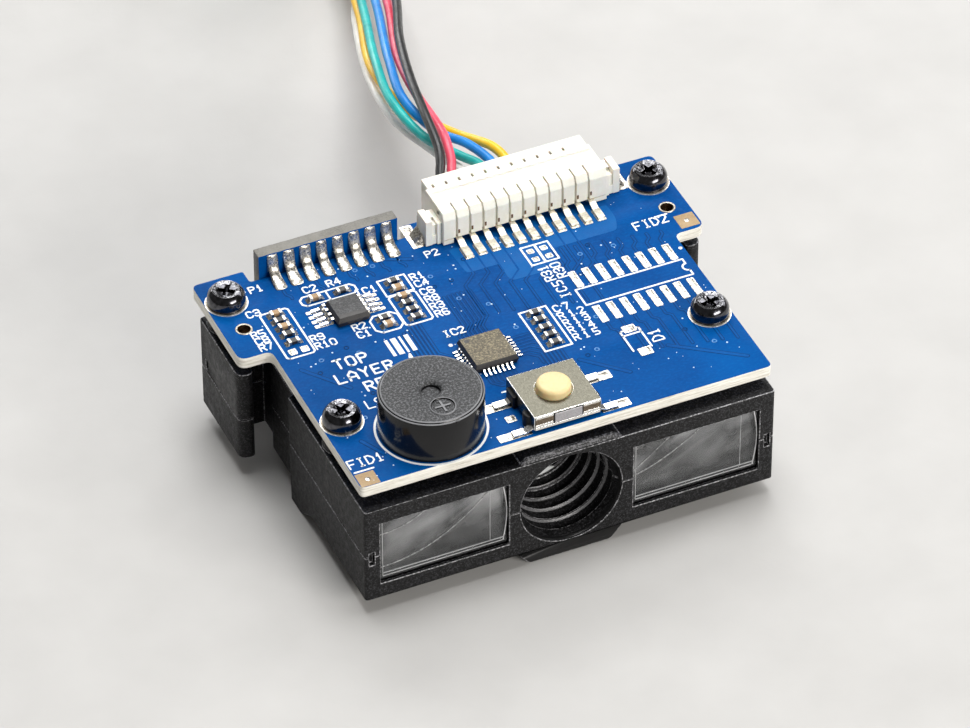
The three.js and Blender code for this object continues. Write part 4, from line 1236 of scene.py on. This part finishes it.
# ---- Sensor board ----
def make_sensor_board():
    low, high = span("sensor_board")
    front, rear = low.y, high.y
    tab_right, tab_top, body_top = -3.15, high.z, -1.5
    loop = rounded([(low.x, low.z, 0.15), (high.x, low.z, 0.15), (high.x, body_top, 0.15),
                    (tab_right, body_top, 0.1), (tab_right, tab_top, 0.08), (low.x, tab_top, 0.08)], 4)
    # The tab's top edge is sawn, so it is a little uneven
    rng = random.Random(3)
    fine = []
    for a, b in zip(loop, loop[1:] + loop[:1]):
        count = max(1, int(math.dist(a, b) / 0.35))
        for i in range(count):
            x, z = a[0] + (b[0] - a[0]) * i / count, a[1] + (b[1] - a[1]) * i / count
            rough = 0.03 if z > tab_top - 0.05 else 0.0
            fine.append((x, z - rough * rng.random()))
    upright = Matrix(((1, 0, 0), (0, 0, -1), (0, 1, 0))).to_4x4()
    make_circuit_board("sensor_board", "camera_board", [fine], rear - front, 0.04,
                       Matrix.Translation((0, (front + rear) / 2, 0)) @ upright, 1, "cut_edge")
    # Solder bridges from the main board's pads up the tab's pads
    s, pads = Shape(), Shape()
    columns = [-1, -0.72, -0.3, 0.3, 0.72, 1]
    m = len(columns)
    for x in TAB_PADS:
        wide = 0.53 + 0.05 * rng.random()
        rows = [(26.15, 0.02, 0.95), (26.5, 0.16, 1.0), (27.2, 0.26, 1.0), (27.75, 0.5 + 0.1 * rng.random(), 0.82),
                (28.1, 0.98, 0.86), (28.28, 1.5, 0.95), (28.34, 2.0, 0.95), (28.385, 2.28, 0.75)]
        n = len(rows) - 1
        skin, back = [], []
        for y, z, share in rows:
            lean = min(1.0, max(0.0, (y - 27.2) / 1.1))
            for c in columns:
                crown = 0.16 * (1 - c * c) * share
                skin.append((x + c * wide * share, y - crown * lean, z - 0.05 + crown * (1 - lean)))
            behind = (y + 0.14, z) if y > 27.9 else (y, 0.003)
            back += [(x + side * wide * share, *behind) for side in (-1, 1)]
        base = len(skin)
        faces = [[r * m + i, r * m + i + 1, (r + 1) * m + i + 1, (r + 1) * m + i]
                 for r in range(n) for i in range(m - 1)]
        for r in range(n):
            a, b = base + 2 * r, base + 2 * r + 2
            faces += [[r * m, (r + 1) * m, b, a], [(r + 1) * m - 1, a + 1, b + 1, (r + 2) * m - 1],
                      [a, b, b + 1, a + 1]]
        faces += [[0, base, base + 1, *range(m - 1, 0, -1)],
                  [*range(n * m, base), base + 2 * n + 1, base + 2 * n]]
        s.add(skin + back, faces)
    piece = s.build("solder_bridges", "tin", "tab_metal", smooth=60)
    m = piece.modifiers.new("round", "SUBSURF")
    m.levels = m.render_levels = 2
    # Bare pads between the bridges and the tab's face, front and rear
    for x in TAB_PADS:
        pads.blocks((x - 0.45, x + 0.45, front - 0.03, front + 0.02, 0.4, 2.2),
                    (x - 0.45, x + 0.45, rear - 0.02, rear + 0.03, -0.6, 2.2))
    pads.build("tab_pads", "tin", "tab_metal", bevel=0.02)


def make_sensor_board_rear():
    """Plain parts on the sensor board's rear face, drawn lying down and then stood up."""
    rear = span("sensor_board")[1].y
    copper, silk, parts, chip, leads = Shape(), Print(), Shape(), Shape(), Shape()
    for k, pad in enumerate(TAB_PADS):
        x, drop, y, shift = -pad, -2.4 - 0.42 * k, -4.6 - 0.32 * k, 0.3 * k
        for points in (((x, -0.6), (x, drop), (x - 1.1, drop - 1.1), (3.2 - 0.5 * k, drop - 1.1)),
                       ((-3.4, y - 1.5), (-5.6 - shift, y - 1.5), (-7.1 - shift, y), (-12.5 + 0.4 * k, y))):
            copper.stroke(points, 0.18, 0.001, 0.014)
    rng = random.Random(11)
    for _ in range(26):
        spot = (rng.uniform(-15, 15), rng.uniform(-11.4, -2.4), 0)
        copper.turn([(0.27, 0.001), (0.27, 0.024), (0.15, 0.024), (0.12, 0.001)], spot, 14, slot=2)
    copper.prism(oblong(-15.4, -9.6, -11.6, -9.4, 0.5), 0.001, 0.01, 1)
    for x, y, body in ((-12.4, -3.2, 2), (-9.6, -3.2, 1), (-6.8, -3.2, 1), (7.4, -9.4, 2), (10.2, -9.4, 2),
                       (13.0, -9.4, 1), (6.4, -10.9, 1), (-13.4, -7.6, 2)):
        small_part(parts, x, y, 0.4, body)
        silk.frame(x - 1.1, x + 1.1, y - 0.6, y + 0.6, 0.2, 0.14)
    low, high = Vector((-2.6, -8.4, 0.08)), Vector((1.2, -5.2, 0.95))
    chip_body(chip, low, high, 0.12)
    lead_rows(leads, low, high, series(-8.0, 0.6, 5), 0.26, 0.95)
    silk.frame(-2.9, 1.5, -8.75, -4.85, 0, 0.14)
    for row in (("U1", -2.6, -4.4), ("C1", -12.9, -5.0), ("R1", -10.0, -5.0), ("SIDE B", 9.4, -6.2)):
        silk.text(*row)
    for shape, name, paints, slot, bevel in (
            (copper, "copper", "trace flood via", "board_blue", 0.0),
            (silk, "print", "silk", "nylon_white", 0.0),
            (parts, "parts", "tin resistor ceramic", "tab_metal", 0.035),
            (chip, "chip", "chip resistor", "chip_grey", 0.05),
            (leads, "leads", "bright", "tab_metal", 0.02)):
        shape.points = [(-x, rear + z, y) for x, y, z in shape.points]
        shape.build("sensor_board_" + name, paints, slot, bevel=bevel)


make_sensor_board()
make_sensor_board_rear()


# ---- Housing ----
NOSE = -0.45  # y of the nose's flat face


def eased_copy(node, name):
    """A CAD shell with its flat faces joined up and its edges eased, the eased faces in a painted edge highlight."""
    mesh = bpy.data.meshes.new(name)
    rework(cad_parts[node].data, mesh,
           lambda work: bmesh.ops.remove_doubles(work, verts=work.verts, dist=2e-6),
           lambda work: bmesh.ops.join_triangles(work, faces=work.faces, angle_shape_threshold=math.radians(60),
                                                 angle_face_threshold=math.radians(1)))
    nose = at(0, NOSE).y
    paint(mesh, "black black_edge nose",
          [2 * (p.normal.y < -0.9 and abs(p.center.y - nose) < 0.02 * MM) for p in mesh.polygons])
    piece = finished(name, mesh, "housing_black", node, bevel=0.07)
    piece.modifiers["bevel"].use_clamp_overlap = False
    # Bevel faces take paint 1, the painted edge highlight
    piece.modifiers["bevel"].material = 1


def make_nose_strip():
    """The slanted edge along the top of the nose, with the plastic's own grain; its lighter speckled tone is a
    painted highlight on the lit slope.
    """
    path = [(-5.25, -2.85), (-4.15, -1.78), (3.95, -1.78), (5.1, -2.62)]
    rows = []
    for (xa, za), (x, z), (xb, zb) in zip(path[:1] + path, path, path[1:] + path[-1:]):
        down = Vector((x, z)) - Vector((za - zb, xb - xa)).normalized() * 0.42
        rows.append([(x, -0.2, z), (x, -0.5, z), (down.x, -0.66, down.y), (down.x, -0.3, down.y)])
    strip = Shape()
    for one, two in zip(rows, rows[1:]):
        strip.hexa(two, one)
    strip.build("nose_strip", "grained_highlight", "housing_black", bevel=0.04)


def make_tunnel():
    """The ribbed bore in front of the camera lens: sharp ridges with hollows between, the ridge tops lighter in a
    painted highlight.
    """
    axis = (0, 0, middle("lens_barrel")[0].z)
    rim, count, start, rear = 4.66, 7, 0.25, 8.9
    profile = [(rim + 0.32, NOSE + 0.03), (rim + 0.2, NOSE - 0.03), (rim + 0.02, NOSE - 0.01),
               (rim - 0.05, NOSE + 0.12)]
    pitch = (rear - start) / count
    for k, y in enumerate(series(start, pitch, count)):
        edge = 4.4 + (3.1 - 4.4) * k / (count - 1)
        profile += [(edge + 0.2, y), (edge, y + 0.14), (edge, y + 0.19), (edge + 0.34, y + 0.36),
                    (edge + 0.3, y + pitch - 0.08)]
    profile += [(3.0, rear), (2.95, rear + 0.2), (3.6, rear + 0.3), (3.6, rear + 0.5)]
    # Slot 1, the ridge tops, takes a lighter paint: a painted highlight
    s = Shape().turn(profile, axis, 128, axis="y", slots=[0] * 3 + [0, 1, 0, 0, 0] * count + [0] * 4)
    # Painted highlight: a white crescent low in the bore, near the lens, in the silkscreen paint, where the lens rim
    # catches the light
    loops = []
    for k in range(17):
        angle, deep = math.radians(-100 + 44 * k / 16), 0.02 + 0.85 * math.sin(math.pi * k / 16)
        loops.append([(radius * math.cos(angle), y, axis[2] + radius * math.sin(angle))
                      for radius, y in ((3.62, 6.5), (3.62, 6.62), (3.66 - deep, 6.62), (3.66 - deep, 6.5))])
    for one, two in zip(loops, loops[1:]):
        s.hexa(one, two, 2)
    outer = [(3.95, rear + 0.5), (4.25, 4.0), (4.75, 0.4), (rim + 0.35, NOSE + 0.06)]
    s.turn([profile[-1], *outer, profile[0]], axis, 128, axis="y")
    piece = s.build("tunnel_liner", "liner crest silk", "housing_black", smooth=50)
    weld(piece.data, 1e-7)


make_nose_strip()
eased_copy("upper_housing", "upper_shell")
eased_copy("lower_housing", "lower_shell")
make_tunnel()

# Start, reach and bend of the painted highlights along the reflector's edges, as shares of each window
WINDOW_ARCS = {"left": ((0.68, 0.42, 2.4), (0.12, 0.9, 2.2)), "right": ((0.43, 0.36, 1.0), (0.38, 0.62, 1.5))}


def make_window(side):
    """A clear pane with rim lines, and the bowed depth and the reflector's edges behind it; the rim lines and the
    reflector's edges are light strips that are painted highlights.
    """
    low, high = span("window_" + side)
    x0, x1, z0, z1, face = low.x + 0.22, high.x - 0.22, low.z + 0.02, -3.97, low.y
    wide, tall = x1 - x0, z1 - z0
    Shape().block(x0, x1, face + 0.02, face + 0.5, z0, z1).build(
        "pane_" + side, "pane", "window_clear", "window_" + side, bevel=0.12)
    # Depth: a bowed front over a flat back, joined round the border
    columns, rows = 25, 9
    points = [(x0 + 0.1 + (wide - 0.2) * u, face + 0.75 + 1.2 * (1 - (2 * v - 1) ** 2), z0 + 0.08 + (tall - 0.16) * v)
              for v in [r / (rows - 1) for r in range(rows)] for u in [c / (columns - 1) for c in range(columns)]]
    n = len(points)
    faces = []
    for r in range(rows - 1):
        for a in range(r * columns, (r + 1) * columns - 1):
            quad = [a, a + 1, a + columns + 1, a + columns]
            faces += [quad[::-1], [q + n for q in quad]]
    border = [*range(columns), *range(2 * columns - 1, n, columns), *range(n - 2, n - columns - 1, -1),
              *range(n - 2 * columns, 0, -columns)]
    faces += [[a, b, b + n, a + n] for a, b in zip(border, border[1:] + border[:1])]
    Shape().add(points + [(x, face + 0.6, z) for x, y, z in points], faces).build(
        "lens_bar_" + side, "depth", "window_clear", smooth=60)
    # Rim lines: light grey strips along the pane's rims, painted highlights where the rims catch the light
    rim, glints = Shape(), Shape()
    for z in (z0 + 0.3, z0 + 0.62):
        rim.block(x0 + 0.3, x1 - 0.3, face - 0.01, face + 0.06, z, z + 0.06)
    rim.blocks((x0 + 0.3, x0 + 0.34, face - 0.01, face + 0.06, z0 + 0.3, z1 - 0.2),
               (x1 - 1.6, x1 - 1.565, face, face + 0.06, z0 + 0.7, z1 - 0.1))
    bow = [(x1 - 0.45 + 0.35 * math.sin(math.pi * k / 12), z0 + 0.3 + (tall - 0.3) * k / 12) for k in range(13)]
    for (xa, za), (xb, zb) in zip(bow, bow[1:]):
        loop = [(x, y, za) for x, y in corners(xa, xa + 0.09, face - 0.01, face + 0.06)]
        rim.slide(loop, (xb - xa, 0, zb - za))
    rim.build("rim_highlight_lines_" + side, "rim", "window_clear")
    # Near-white strips behind the pane: painted highlights along the reflector's edges
    for start, reach, bend in WINDOW_ARCS[side]:
        path = [(x0 + 0.15 + reach * wide * t, z0 + (start + (0.95 - start) * t ** bend) * tall)
                for t in [i / 12 for i in range(13)]]
        for (xa, za), (xb, zb) in zip(path, path[1:]):
            glints.slide([(xa, face + 0.53, za), (xb, face + 0.53, zb), (xb, face + 0.58, zb),
                          (xa, face + 0.58, za)], (0, 0, 0.1))
    glints.build("reflector_edge_highlights_" + side, "glint", "window_clear")


make_window("left")
make_window("right")


# ---- CAD nodes that stay ----
KEPT = {
    "dark": "lens_barrel aperture_stop retaining_ring", "lens": "lens_front lens_rear sensor_glass",
    "sensor": "sensor_package", "led_board": "led_board_left led_board_right",
    "led": "led_left_inner led_left_outer led_right_inner led_right_outer", "buzzer": "buzzer_base",
    "steel": "buzzer_magnet buzzer_diaphragm", "copper": "buzzer_coil", "bright": "switch_dome",
    "tab": "header_tab_left header_tab_right",
}
for key, nodes in KEPT.items():
    for node in nodes.split():
        paint(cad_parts[node].data, key)


def make_stage():
    z = at(0, 0, FLOOR).z
    mesh = bpy.data.meshes.new("floor")
    mesh.from_pydata([(x, y, z) for x, y in corners(-1.5, 1.5, -1.5, 1.5)], [], [(0, 1, 2, 3)])
    mesh.materials.append(floor_finish().material)
    placed("floor", mesh)


def make_light(name, place, size, power, tint=(1, 1, 1)):
    data = bpy.data.lights.new(name, "AREA")
    data.shape, data.size, data.size_y = "RECTANGLE", *size
    data.energy, data.color = power, tint
    light = placed(name, data)
    light.location = place
    light.rotation_mode = "QUATERNION"
    light.rotation_quaternion = (Vector(place) - at(0, 12, 0)).to_track_quat("Z", "Y")


make_stage()
make_light("key", (0.02, 0.06, 0.62), (0.34, 0.3), 2.95)
make_light("rear", (0.14, 0.36, 0.44), (0.42, 0.2), 1.6)
make_light("low", (-0.05, 0.6, 0.13), (0.5, 0.1), 1.2)
make_light("side", (0.55, 0.05, 0.3), (0.25, 0.35), 1.0)
make_light("front", (0.2, -0.56, 0.26), (0.4, 0.16), 3.5, (1, 0.97, 0.93))
world = bpy.data.worlds.new("studio")
world.use_nodes = True
world.node_tree.nodes["Background"].inputs["Color"].default_value = (1.0, 0.98, 0.95, 1)
world.node_tree.nodes["Background"].inputs["Strength"].default_value = 0.14
bpy.context.scene.world = world
bpy.context.scene.view_settings.view_transform = "Standard"
